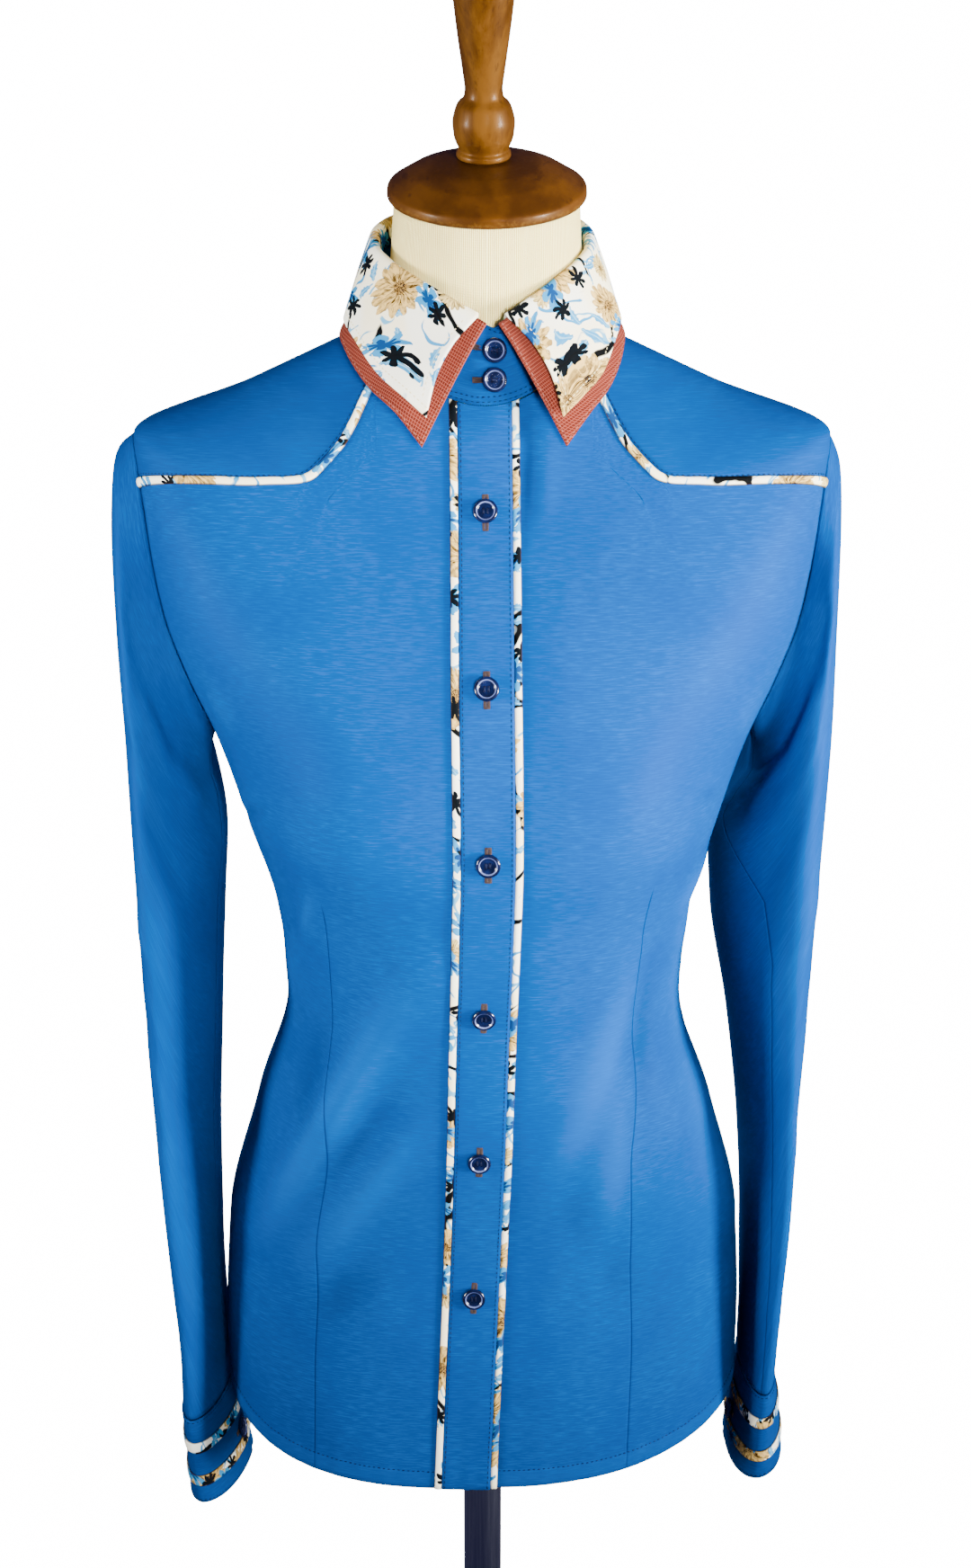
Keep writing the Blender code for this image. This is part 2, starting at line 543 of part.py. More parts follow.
def build_yoke(right, collection):
    """A front yoke: a patch between the shoulder ridge and the front's top edge."""
    low = np.array(FRONT_TOP_YOKE, float)
    ridge = np.stack([np.full(len(RIDGE_LINES), 90.0), np.array(RIDGE_LINES)], axis=-1)
    arm_downs = np.linspace(TIP_DOWN, YOKE_ARM_DOWN, 5)
    arm = np.stack([np.degrees(armhole_angle(arm_downs, "front")), arm_downs], axis=-1)
    q = ((arm_downs - TIP_DOWN) / (YOKE_ARM_DOWN - TIP_DOWN))[:, None, None]
    patch = (1.0 - q) * ridge[None] + q * low[None]
    towards_arm = np.linspace(0.0, 1.0, len(low))[None, :, None]
    straight = (1.0 - q) * arm[None, :1] + q * arm[None, -1:]
    patch = patch + towards_arm * (arm[:, None] - straight)
    grid = torso(np.radians(patch[..., 0]) * side_sign(right), patch[..., 1])
    grid = drawn_in(grid, {"first_row": SEAM_GAP / 2.0, "last_row": SEAM_GAP / 2.0,
                           "last_column": SEAM_GAP / 2.0, "first_column": SEAM_GAP})
    cloth_piece("yoke_" + side_name(right), grid, SHIRTING, "blue_shirting", collection)


def build_back(collection):
    """The back: one piece from ridge to ridge and from the neck to the shirt-tail hem."""
    lines = np.array(RIDGE_LINES + YOKE_ARM_LINES + ARM_LINES + SIDE_LINES)
    share = np.linspace(-1.0, 1.0, BACK_COLUMNS)
    angle = math.pi - share[None, :] * armhole_angle(lines, "back")[:, None]
    grid = torso(angle, lines[:, None])
    grid = drawn_in(grid, {"first_row": SEAM_GAP / 2.0, "first_column": SEAM_GAP / 2.0,
                           "last_column": SEAM_GAP / 2.0})
    cloth_piece("back", grid, SHIRTING, "blue_shirting", collection)


# ------------------------------------------------------------------------------------- sleeves and cuffs

def section_points(row, right, angles):
    """A closed section through its outer, front, inner and back points, at these angles from the outer."""
    value = dict(zip(SLEEVE_COLUMNS, row))
    side = side_name(right)
    out_x, in_x = value[side + "_out"], value[side + "_in"]
    front_turn = value[side + "_turn"]
    middle_y = (value["front_y"] + value["back_y"]) / 2.0
    lean = (front_turn - value["back_turn"]) * (value["back_y"] - value["front_y"]) * SLEEVE_LEAN
    outer = np.array([out_x, middle_y, value["out_z"]])
    inner = np.array([in_x, middle_y + lean, value["in_z"]])
    front = np.array([in_x + (out_x - in_x) * front_turn, value["front_y"], value["front_z"]])
    back = np.array([in_x + (out_x - in_x) * value["back_turn"], value["back_y"], value["back_z"]])
    centre = (outer + inner + front + back) / 4.0
    cosine, sine = np.cos(angles)[:, None], np.sin(angles)[:, None]
    power = 2.0 / value["square"]
    along = np.where(cosine > 0.0, outer - centre, inner - centre) * np.abs(cosine) ** power
    across = np.where(sine > 0.0, front - centre, back - centre) * np.abs(sine) ** power
    points = centre + along + across
    if not right:
        share = np.clip((LEFT_RISE_TOP - points[:, 2]) / (LEFT_RISE_TOP - LEFT_RISE_BOTTOM), 0.0, 1.0)
        points[:, 2] += LEFT_RISE * share
    return points


def armhole_loop():
    """The armhole's edge, from the shoulder tip down the front, under the arm and up the back."""
    downs = [line for line in YOKE_ARM_LINES + ARM_LINES if line != ARM_LINES[0] and line < ARMPIT_DOWN]
    front = [(armhole_angle(line, "front"), line, 1.0) for line in downs]
    back = [(math.pi - armhole_angle(line, "back"), line, -1.0) for line in reversed(downs)]
    loop = [(math.pi / 2.0, TIP_DOWN, 0.0)] + front + [(math.pi / 2.0, ARMPIT_DOWN, 0.0)] + back
    angle = np.array([point[0] for point in loop])
    down = np.array([point[1] for point in loop])
    turn = np.array([point[2] for point in loop])
    points = torso(angle, down)
    lowness = np.clip((down - UNDERARM_START) / (ARMPIT_DOWN - UNDERARM_START), 0.0, 1.0)
    underarm = np.arange(len(loop)) == len(front) + 1
    clear = np.stack([1.0 + lowness, turn, underarm], axis=-1) * ARMHOLE_CLEAR * ARMHOLE_GAP
    return points + clear


def sleeve_grid(right):
    """A sleeve's grid: its first row is the armhole, and the others are sections from the table."""
    loop = armhole_loop()
    angles = np.linspace(0.0, 2.0 * math.pi, len(loop), endpoint=False)
    sections = np.array([loop] + [section_points(row, right, angles) for row in SLEEVE_ROWS])
    stations = np.arange(len(sections))
    steps = np.array(SLEEVE_STEPS)
    flat = sections.reshape(len(sections), -1)
    grid = np.stack([smooth_column(stations, flat[:, k], steps) for k in range(flat.shape[1])], axis=-1)
    return grid.reshape(len(steps), *loop.shape)


def build_sleeve(right, collection):
    """A sleeve: one closed wall from the armhole to the cuff."""
    cloth_piece("sleeve_" + side_name(right), mirrored(sleeve_grid(right), right), SHIRTING, "blue_shirting",
                collection, closed=True)


def cuff_grid(right):
    """A cuff's grid, whose two ends lap over each other at the inner side, and its outward directions."""
    share = np.linspace(0.0, 1.0, CUFF_AROUND + 1)
    angles = CUFF_OPENING - share * (2.0 * math.pi + CUFF_OVERLAP)
    top, bottom = (section_points(row, right, angles) for row in CUFF_ROWS)
    lines = np.array(CUFF_LINES)[:, None, None]
    grid = top[None] * (1.0 - lines) + bottom[None] * lines
    centre = grid.mean(axis=1, keepdims=True)
    outward = grid - centre
    start = 1.0 - CUFF_TUCK_START * CUFF_OVERLAP / (2.0 * math.pi + CUFF_OVERLAP)
    tuck = np.clip((share - start) / (CUFF_TUCK_LENGTH * (1.0 - start)), 0.0, 1.0)
    depth = -(CUFF_CLOTH + LAY_GAP + CUFF_SPARE) * tuck * tuck * (3.0 - 2.0 * tuck)
    return moved_out(grid, np.broadcast_to(depth, grid.shape[:2]), outward), outward


def build_cuff(right, collection):
    """A cuff, the two floral strips that lie on it, and its button."""
    name = side_name(right)
    grid, outward = cuff_grid(right)
    cloth_piece("cuff_" + name, mirrored(grid, right), CUFF_CLOTH, "blue_shirting", collection)
    layer = (CUFF_CLOTH + SHIRTING) / 2.0 + LAY_GAP
    visible = CUFF_AROUND - 2
    raised = moved_out(grid, np.full(grid.shape[:2], layer), outward)
    for strip, first, last in CUFF_STRIPS:
        cloth_piece("cuff_strip_%s_%s" % (name, strip), mirrored(raised[first:last + 1, :visible], right), SHIRTING,
                    "floral_cotton", collection)
    column, row = 1, 2
    seat = (grid[row, column] + grid[row + 1, column]) / 2.0
    across = grid[row, column + 1] - grid[row, column - 1]
    along = grid[row + 1, column] - grid[row, column]
    facing = np.cross(across, along)
    facing *= np.sign(np.sum(facing * outward[row, column])) / np.linalg.norm(facing)
    seat = seat + facing * (CUFF_CLOTH / 2.0 + BUTTON_SHANK)
    add_button("button_cuff_" + name, mirrored(seat, right), mirrored(facing, right), collection)


# ------------------------------------------------------------------------------------------------- collar

def turned_to_the_left(points, weight):
    """Turn points round the neck, fully where the weight is one, because the collar's front sits askew."""
    angle = COLLAR_TURN / NECK_REACH * np.asarray(weight, float)[..., None]
    x, y = points[..., :1], points[..., 1:2]
    return np.concatenate([x * np.cos(angle) - y * np.sin(angle), x * np.sin(angle) + y * np.cos(angle),
                           points[..., 2:]], axis=-1)


def front_weight(points):
    """One at the front of the neck and nought behind its middle."""
    return np.clip(-points[..., 1] / NECK_REACH, 0.0, 1.0)


def both_halves(half):
    """Mirror a half grid, whose first column is the centre back, to the wearer's right side."""
    return np.concatenate([half[:, :0:-1] * np.array([-1.0, 1.0, 1.0]), half], axis=1)


def collar_half():
    """Half of the upper collar: rows from the fold to the edge, columns from the back to the front."""
    table = np.array(COLLAR_ROWS)
    fold, middle, edge = table[:, 0:3], table[:, 3:6], table[:, 6:9]
    w = np.linspace(0.0, 1.0, COLLAR_FALLWAYS + 1)[:, None, None]
    return fold * (1.0 - w) * (1.0 - 2.0 * w) + middle * 4.0 * w * (1.0 - w) + edge * w * (2.0 * w - 1.0)


def under_half():
    """Half of the under collar: beneath the upper one, and wider all along its edges."""
    half = collar_half()
    layer = COLLAR_CLOTH + LAY_GAP + COLLAR_SPARE
    half = moved_out(half, np.full(half.shape[:2], -layer), away_from_axis(half))
    fall = half[-1] - half[-2]
    along = np.gradient(half[-1], axis=0)
    along /= np.linalg.norm(along, axis=-1, keepdims=True)
    across = fall - np.sum(fall * along, axis=-1, keepdims=True) * along
    across /= np.linalg.norm(across, axis=-1, keepdims=True)
    wide = np.concatenate([half, (half[-1] + across * UNDER_BORDER)[None]], axis=0)
    fold, middle, tip = np.array(UNDER_FRONT)
    w = np.linspace(0.0, 1.0, len(wide))[:, None]
    wide[:, -1] = fold * (1.0 - w) * (1.0 - 2.0 * w) + middle * 4.0 * w * (1.0 - w) + tip * w * (2.0 * w - 1.0)
    return wide


def stand_grid():
    """The stand's grid: from its inner end at the left, round the back of the neck, to its outer end."""
    turn = COLLAR_TURN / NECK_REACH
    half_round = np.radians(STAND_ROUND)
    shift = turn * np.clip(np.cos(half_round), 0.0, 1.0)
    left_foot = torso(half_round[::-1] + shift[::-1], 0.0, folded=False)
    right_foot = torso(shift[1:] - half_round[1:], 0.0, folded=False)
    head = np.array(COLLAR_ROWS)[:, 0:3]
    head = head - away_from_axis(head) * STAND_LEAN - np.array([0.0, 0.0, STAND_DROP])
    mirror = np.array([-1.0, 1.0, 1.0])

    def end_columns(end, side):
        """Foot and head points of one end, past the centre front on the side that it laps over."""
        angle = np.radians([row[0] for row in end]) * side + turn
        share = np.array([row[1] for row in end])[:, None]
        low = torso(angle, 0.0, folded=False)
        high = np.array(STAND_END_MIDDLE) + low * np.array([STAND_END_NARROW, 0.0, 0.0])
        high[:, 1] += low[:, 0] ** 2 / STAND_END_CURVE
        return low, low + (high - low) * share

    def turned(points):
        """The head's points, turned as the collar is."""
        return turned_to_the_left(points, front_weight(points))

    inner_low, inner_high = end_columns(STAND_INNER_END, -1.0)
    outer_low, outer_high = end_columns(STAND_OUTER_END, 1.0)
    low = np.concatenate([inner_low[::-1], left_foot, right_foot, outer_low])
    high = np.concatenate([inner_high[::-1], turned(head[::-1]), turned(head[1:] * mirror), outer_high])
    low = low + np.array([0.0, 0.0, STAND_LIFT])
    w = np.linspace(0.0, 1.0, 3)[:, None, None]
    grid = low * (1.0 - w) + high * w
    tuck = np.zeros(grid.shape[1])
    tuck[:len(STAND_INNER_END) + 2] = 1.0
    tuck[len(STAND_INNER_END) + 2] = 0.5
    depth = -(COLLAR_CLOTH + LAY_GAP + COLLAR_SPARE) * tuck
    return moved_out(grid, np.broadcast_to(depth, grid.shape[:2]), away_from_axis(grid))


def build_collar(collection):
    """The stand, the rust under collar and the floral upper collar, then the stand's two buttons."""
    upper = both_halves(collar_half())
    upper = turned_to_the_left(upper, front_weight(upper))
    cloth_piece("collar_top", upper, COLLAR_CLOTH, "floral_cotton", collection)
    under = both_halves(under_half())
    under = turned_to_the_left(under, front_weight(under))
    cloth_piece("collar_under", under, COLLAR_CLOTH, "rust_check", collection)
    stand = stand_grid()
    cloth_piece("collar_stand", stand, COLLAR_CLOTH, "blue_shirting", collection)
    first = stand.shape[1] - len(STAND_OUTER_END)
    for count, share in enumerate(STAND_BUTTON_SHARES):
        low, high = stand[0, first], stand[-1, first]
        point = low * (1.0 - share) + high * share
        outward = np.array([0.0, -(high[2] - low[2]), high[1] - low[1]])
        outward /= np.linalg.norm(outward)
        seat = point + outward * (COLLAR_CLOTH / 2.0 + STAND_BUTTON_SHANK)
        add_button("button_stand_%d" % (count + 1), seat, outward, collection)


def add_button(name, seat, outward, collection):
    """A button whose foot is at seat and whose face looks outward."""
    button = turned_piece(name, BUTTON_PROFILE, BUTTON_SIDES, "navy_button", collection)
    placed(button, seat, outward)


def build_placket_buttons(collection):
    """The buttons down the placket, each over the middle of the band between two of its grid lines."""
    lines = inner_lines()
    middle = torso(0.0, lines)
    for count in range(PLACKET_BUTTONS):
        down = FIRST_BUTTON + count * BUTTON_SPACING
        row = int(np.searchsorted(lines, down))
        above, below = middle[row - 1], middle[row]
        share = (down - lines[row - 1]) / (lines[row] - lines[row - 1])
        outward = np.array([0.0, below[2] - above[2], above[1] - below[1]])
        outward /= np.linalg.norm(outward)
        lift = SHIRTING + LAY_GAP + SHIRTING / 2.0 + BUTTON_SHANK
        seat = above * (1.0 - share) + below * share + outward * lift
        add_button("button_placket_%d" % (count + 1), seat, outward, collection)


# -------------------------------------------------------------------------------------------- dress form

def form_grid():
    """The form's skin: torso rings from its underside to the neck seam, then rings up the neck."""
    angle = np.linspace(0.0, 2.0 * math.pi, FORM_AROUND, endpoint=False)
    lines = np.array(FORM_LINES)
    grid = torso(angle[None, :], lines[::-1, None], folded=False)
    inset = smooth_column([row[0] for row in FORM_INSET_ROWS], [row[1] for row in FORM_INSET_ROWS], lines[::-1])
    wrapped = np.concatenate([grid[:, -1:], grid, grid[:, :1]], axis=1)
    round_all = np.concatenate([angle[-1:], angle, angle[:1]])
    depth = -(inset[:, None] + FORM_FRONT_INSET * np.clip(np.cos(round_all), 0.0, 1.0) ** 2)
    grid = moved_out(wrapped, depth, wrapped - np.array([0.0, 0.0, FORM_MIDDLE_Z]))[:, 1:-1]
    under = grid[:1].copy()
    under[..., 2] = FORM_UNDERSIDE_Z
    neck_base = grid[-1:]
    tilt_y, tilt_z = math.cos(CAP_TILT), math.sin(CAP_TILT)
    ring = np.stack([NECK_X + NECK_RADIUS * np.sin(angle), NECK_TOP_Y - NECK_RADIUS * tilt_y * np.cos(angle),
                     NECK_TOP_Z - NECK_RADIUS * tilt_z * np.cos(angle)], axis=-1)[None]
    narrow = np.array(NECK_RISE)[:, None, None] ** np.array(NECK_FLARE)
    neck = neck_base * (1.0 - narrow) + ring * narrow
    return np.concatenate([under, grid, neck], axis=0)


def build_form(collection):
    """The form's body and neck as one closed skin, its cap and finial, its pole and its base."""
    grid = form_grid()
    rows, columns = grid.shape[:2]
    index = np.arange(rows * columns).reshape(rows, columns)
    index = np.concatenate([index, index[:, :1]], axis=1)
    faces = np.stack([index[:-1, :-1], index[:-1, 1:], index[1:, 1:], index[1:, :-1]], axis=-1).reshape(-1, 4)
    caps = [list(map(int, index[0, :-1][::-1])), list(map(int, index[-1, :-1]))]
    mesh = bpy.data.meshes.new("form_body")
    mesh.from_pydata((grid.reshape(-1, 3) * MM).tolist(), [], faces.tolist() + caps)
    shaped = bmesh.new()
    shaped.from_mesh(mesh)
    bmesh.ops.recalc_face_normals(shaped, faces=shaped.faces)
    shaped.to_mesh(mesh)
    shaped.free()
    mesh.shade_smooth()
    add_object("form_body", mesh, "cream_jersey", collection)

    tilt = np.array([0.0, -math.sin(CAP_TILT), math.cos(CAP_TILT)])
    seat = np.array([NECK_X, NECK_TOP_Y, NECK_TOP_Z]) + tilt * REST_GAP
    placed(turned_piece("form_cap", CAP_PROFILE, 32, "turned_beech", collection), seat, tilt)
    seat = seat + tilt * (CAP_PROFILE[0][1] + REST_GAP) + np.array([FINIAL_SHIFT, 0.0, 0.0])
    placed(turned_piece("form_finial", FINIAL_PROFILE, 20, "turned_beech", collection), seat, tilt)

    foot = BASE_PROFILE[0][1] + REST_GAP
    top = FORM_UNDERSIDE_Z - REST_GAP
    pole = ((0.0, top), (FLANGE_RADIUS, top), (FLANGE_RADIUS, top - FLANGE_THICKNESS),
            (POLE_RADIUS, top - FLANGE_THICKNESS), (POLE_RADIUS, foot), (0.0, foot))
    turned_piece("form_pole", pole, 20, "steel_pole", collection)
    turned_piece("form_base", BASE_PROFILE, 32, "turned_beech", collection)


def main():
    """Build every piece in one collection, with nothing else in the scene."""
    for leftover in list(bpy.data.objects):
        bpy.data.objects.remove(leftover, do_unlink=True)
    collection = bpy.data.collections.new("western_shirt_on_dress_form")
    bpy.context.scene.collection.children.link(collection)
    for right in (True, False):
        build_front(right, collection)
        build_yoke(right, collection)
        build_sleeve(right, collection)
        build_cuff(right, collection)
    build_back(collection)
    build_placket_buttons(collection)
    build_collar(collection)
    build_form(collection)


main()
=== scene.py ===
"""Visual model of a western shirt that a limbless dress form wears.

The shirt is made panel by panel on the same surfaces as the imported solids: the torso's rings, the sleeves'
and cuffs' sections and the collar's fold, fall and edge. Each surface is a short table of named columns, in
millimetres, and a monotone cubic runs through every column. A panel is a fine grid on its surface with small
folds, seams and hems laid over it, and each has its own woven, printed, knitted or turned material.

The shirt's front faces -Y, +Z is up, and the wearer's left is at +X. Lengths are millimetres until a mesh is
made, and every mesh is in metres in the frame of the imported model.
"""

import logging
import math
from collections.abc import Iterable
from dataclasses import dataclass, field
from enum import Enum

import bmesh
import bpy
import numpy as np
from mathutils import Matrix, Vector

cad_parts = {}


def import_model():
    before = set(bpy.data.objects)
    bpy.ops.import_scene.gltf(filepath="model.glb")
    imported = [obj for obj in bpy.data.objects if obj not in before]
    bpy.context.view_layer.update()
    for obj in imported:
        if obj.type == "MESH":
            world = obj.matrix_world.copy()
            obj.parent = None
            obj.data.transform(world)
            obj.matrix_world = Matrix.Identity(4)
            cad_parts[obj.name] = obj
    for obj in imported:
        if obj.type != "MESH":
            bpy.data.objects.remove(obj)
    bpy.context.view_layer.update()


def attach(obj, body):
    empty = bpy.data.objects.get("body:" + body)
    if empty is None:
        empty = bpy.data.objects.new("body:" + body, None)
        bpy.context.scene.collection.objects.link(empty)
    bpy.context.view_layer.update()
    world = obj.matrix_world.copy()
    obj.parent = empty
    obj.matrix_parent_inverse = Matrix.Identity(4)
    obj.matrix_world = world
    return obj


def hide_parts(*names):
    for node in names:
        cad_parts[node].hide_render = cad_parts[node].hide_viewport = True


log = logging.getLogger("western_shirt")

MM = 0.001
TINY = 1e-9
UPRIGHT = (0.0, 0.0, 1.0)

Grid = np.ndarray


# ------------------------------------------------------------------------------------------------- sizes

@dataclass(frozen=True)
class ClothSizes:
    """Thicknesses and gaps of the cloth, in millimetres."""

    shirting: float = 1.2
    collar: float = 1.4
    cuff: float = 1.6
    visible_wall: float = 0.9
    seam_gap: float = 0.34
    lay_gap: float = 0.36
    under_spare: float = 0.35
    collar_spare: float = 0.1
    cuff_spare: float = 0.25

    @property
    def half_gap(self) -> float:
        """How far a panel keeps back from the middle of a seam."""
        return self.seam_gap / 2.0

    @property
    def face(self) -> float:
        """How far a panel's outer face lies outside its middle surface."""
        return self.visible_wall / 2.0

    @property
    def cuff_face(self) -> float:
        """The same for a cuff, whose wall is drawn 0.86 of its thickness."""
        return self.cuff * 0.43

    @property
    def layer(self) -> float:
        """How far a second layer of shirting lies outside the first."""
        return self.shirting + self.lay_gap

    @property
    def collar_layer(self) -> float:
        """How far the upper collar lies outside the under collar."""
        return self.collar + self.lay_gap + self.collar_spare


@dataclass(frozen=True)
class PlacketSizes:
    """The placket band, its pipings and its buttons, in millimetres."""

    half: float = 14.65
    piping: float = 4.0
    underlap: float = 11.5
    first_button: float = 59.0
    button_spacing: float = 95.8
    buttons: int = 6
    stand_shares: tuple[float, float] = (0.30, 0.68)
    upright_hole: tuple[float, float] = (18.5, 3.9)
    level_hole: tuple[float, float] = (15.0, 3.2)


@dataclass(frozen=True)
class StitchSizes:
    """Topstitching and the satin stitch of buttonholes, in millimetres."""

    length: float = 1.9
    pitch: float = 3.0
    thread: float = 0.34
    height: float = 0.2
    from_edge: float = 1.7
    satin_pitch: float = 0.42
    satin_thread: float = 0.26


@dataclass(frozen=True)
class WearSizes:
    """Unevenness of cloth that has been worn and pressed: heights and lengths in millimetres."""

    crease_ends: float = 0.3
    body_wave: float = 0.75
    sleeve_wave: float = 1.1
    hem_fold: float = 0.35
    hem_pucker: float = 0.16
    pucker_length: float = 13.0
    placket_ripple: float = 0.45
    ripple_length: float = 37.0
    sleeve_gather: float = 0.35
    gathers_round: float = 20.0
    cuff_wave: float = 0.35
    collar_puff: float = 0.5


CLOTH = ClothSizes()
PLACKET = PlacketSizes()
STITCH = StitchSizes()
WEAR = WearSizes()

PANEL_SPACING = 3.4
HEM_DEPTH = 10.0


class Side(Enum):
    """The wearer's side, with the sign of X there."""

    RIGHT = -1.0
    LEFT = 1.0

    @property
    def label(self) -> str:
        """The side's word in the names of pieces."""
        return self.name.lower()


class Hold(Enum):
    """How a sheet of cloth is held."""

    DRAPED = "draped"
    HUNG = "hung"
    FOLDED = "folded"
    STRETCHED = "stretched"
    LAID = "laid"


# ------------------------------------------------------------------------------------------------ tables

# Torso: one row for each ring. "down" is the distance down the centre front from the collar seam. A ring
# passes its front, its sides and its back at their own heights.
TORSO_COLUMNS = ("down", "half_width", "front_y", "side_y", "back_y",
                 "front_z", "side_z", "back_z", "square", "dip", "front_x")
TORSO_ROWS = (
    (0.0, 63.0, -67.0, -2.0, 62.0, 1350.0, 1391.0, 1405.0, 2.00, 0.0, 1.5),
    (30.0, 129.0, -74.0, -4.0, 76.0, 1322.0, 1361.0, 1368.0, 2.20, 0.0, 1.7),
    (60.0, 197.0, -84.0, -5.0, 88.0, 1294.0, 1331.0, 1332.0, 2.50, 0.0, 2.0),
    (88.0, 196.0, -96.0, -5.0, 97.0, 1267.0, 1302.0, 1298.0, 2.60, 0.0, 2.2),
    (120.0, 192.0, -110.0, -4.0, 103.0, 1240.0, 1266.0, 1262.0, 2.50, 0.0, 2.4),
    (150.0, 185.0, -122.0, -3.0, 105.0, 1211.0, 1230.0, 1228.0, 2.40, 0.0, 2.6),
    (180.0, 173.0, -130.0, -2.0, 104.0, 1184.0, 1196.0, 1194.0, 2.30, 0.0, 2.9),
    (208.0, 157.0, -134.5, 0.0, 101.0, 1157.0, 1160.0, 1160.0, 2.25, 0.0, 3.2),
    (252.0, 140.5, -137.0, 0.0, 94.0, 1113.0, 1113.0, 1113.0, 2.20, 0.0, 3.5),
    (305.0, 124.5, -129.0, 0.0, 85.0, 1060.0, 1060.0, 1060.0, 2.20, 0.0, 2.3),
    (366.0, 117.3, -115.5, 0.0, 77.0, 1000.0, 1000.0, 1000.0, 2.20, 0.0, 0.5),
    (442.0, 139.0, -105.0, 0.0, 88.0, 924.0, 924.0, 924.0, 2.20, 0.0, -1.5),
    (520.0, 160.0, -92.0, 0.0, 108.0, 846.0, 846.0, 846.0, 2.25, 0.0, -4.2),
    (600.0, 164.0, -98.0, 0.0, 118.0, 768.0, 772.0, 766.0, 2.30, 0.5, -7.5),
    (659.0, 163.0, -111.5, 0.0, 118.0, 709.0, 733.0, 690.0, 2.30, 4.0, -10.0),
)
TIP_DOWN = 60.0
ARMPIT_DOWN = 208.0
HEM_DOWN = 659.0

# Broad folds shared with the solids, then the finer ones: a row is x and z of one end and of the other,
# seen from the front, the width over which the fold fades, and its height out of the cloth
FOLD_ROWS = (
    (-80.0, 1132.0, -84.0, 1124.0, 46.0, 11.0),
    (80.0, 1132.0, 84.0, 1124.0, 46.0, 11.0),
    (-27.0, 1038.0, -92.0, 945.0, 17.0, 4.0),
    (100.0, 990.0, 118.0, 925.0, 15.0, 3.0),
)
CREASE_ROWS = (
    (-40.0, 1040.0, -134.0, 850.0, 12.0, 4.8),
    (-36.0, 944.0, -108.0, 836.0, 11.0, 3.4),
    (-50.0, 970.0, -100.0, 886.0, 9.0, -1.7),
    (-88.0, 1010.0, -118.0, 906.0, 9.0, -1.7),
    (-110.0, 1040.0, -140.0, 920.0, 8.0, 3.4),
    (-145.0, 1097.0, -132.0, 1066.0, 4.0, 2.2),
    (-94.0, 1087.0, -103.0, 1050.0, 5.0, 2.2),
    (-60.0, 850.0, -110.0, 800.0, 14.0, -1.7),
    (150.0, 1106.0, 114.0, 1066.0, 6.0, 3.2),
    (116.0, 1076.0, 120.0, 980.0, 8.0, 3.4),
    (116.0, 1010.0, 158.0, 850.0, 12.0, 4.6),
    (96.0, 1056.0, 90.0, 926.0, 9.0, -1.7),
    (88.0, 1044.0, 40.0, 900.0, 12.0, 4.0),
    (81.0, 970.0, 69.0, 850.0, 11.0, 3.0),
    (45.0, 905.0, 93.0, 810.0, 14.0, -1.7),
    (27.0, 1350.0, 22.0, 1290.0, 6.0, -2.1),
    (40.0, 1344.0, 30.0, 1284.0, 7.0, 1.2),
    (-140.0, 1112.0, -121.0, 1135.0, 3.4, -1.3),
    (-137.0, 1121.0, -121.0, 1143.0, 5.0, 0.9),
    (132.0, 1134.0, 121.0, 1141.0, 3.4, -1.1),
    (133.0, 1142.0, 120.0, 1150.0, 5.0, 0.8),
    (-150.0, 1196.0, -141.0, 1172.0, 6.0, 1.2),
    (150.0, 1190.0, 144.0, 1166.0, 6.0, 1.1),
)
BACK_CREASE_ROWS = (
    (-20.0, 1050.0, -86.0, 1016.0, 12.0, 1.6),
    (24.0, 1030.0, 92.0, 1000.0, 12.0, 1.6),
    (-28.0, 1006.0, -90.0, 982.0, 10.0, -1.2),
    (30.0, 986.0, 88.0, 962.0, 10.0, -1.2),
    (-70.0, 1240.0, -96.0, 1130.0, 14.0, 1.0),
    (72.0, 1246.0, 98.0, 1134.0, 14.0, 1.0),
)

# Darts: a seam line down each front, in degrees round from the centre front and millimetres down
DART_LINES = {
    Side.RIGHT: ((41.5, 282.0), (46.0, 374.0), (38.0, 435.0), (35.0, 496.0), (33.0, 579.0), (32.5, 659.0)),
    Side.LEFT: ((41.0, 270.0), (44.5, 325.0), (45.5, 383.0), (36.0, 456.0), (32.5, 529.0), (32.5, 659.0)),
}
DART_FADE = 12.0

# Armhole: how far round from the centre front and the centre back it cuts each ring, in degrees
ARMHOLE_COLUMNS = ("down", "front", "back")
ARMHOLE_ROWS = (
    (60.0, 90.0, 90.0),
    (70.0, 78.5, 78.0),
    (80.0, 75.0, 75.5),
    (100.0, 72.2, 73.0),
    (138.0, 73.0, 73.0),
    (158.0, 74.0, 73.0),
    (178.0, 74.5, 74.0),
    (195.0, 77.0, 77.0),
    (208.0, 90.0, 90.0),
)

# Where the panels' grid lines cross the shoulder ridge, the armhole and the side seam, down the rings
RIDGE_LINES = (0.0, 10.0, 20.0, 30.0, 40.0, 50.0, 60.0)
YOKE_ARM_DOWN = 80.0
YOKE_ARM_LINES = (70.0, 80.0)
ARM_LINES = (85.0, 100.0, 118.0, 138.0, 158.0, 178.0, 195.0, 208.0)
SIDE_LINES = (232.0, 262.0, 296.0, 330.0, 366.0, 404.0, 446.0, 486.0, 524.0, 568.0, 614.0, 659.0)

# Top edge of a front, from the placket outwards, as degrees round and millimetres down
FRONT_TOP_NECK = ((34.0, 0.0), (45.0, 0.0))
FRONT_TOP_YOKE = ((54.0, 0.0), (37.0, 24.0), (28.5, 47.0), (34.5, 53.5), (44.5, 60.0), (57.5, 69.0),
                  (75.0, 80.0))

# How strongly each row below the top edge still follows it
TOP_FOLLOW = (1.0, 1.0, 0.80, 0.60, 0.42, 0.26, 0.13, 0.05)

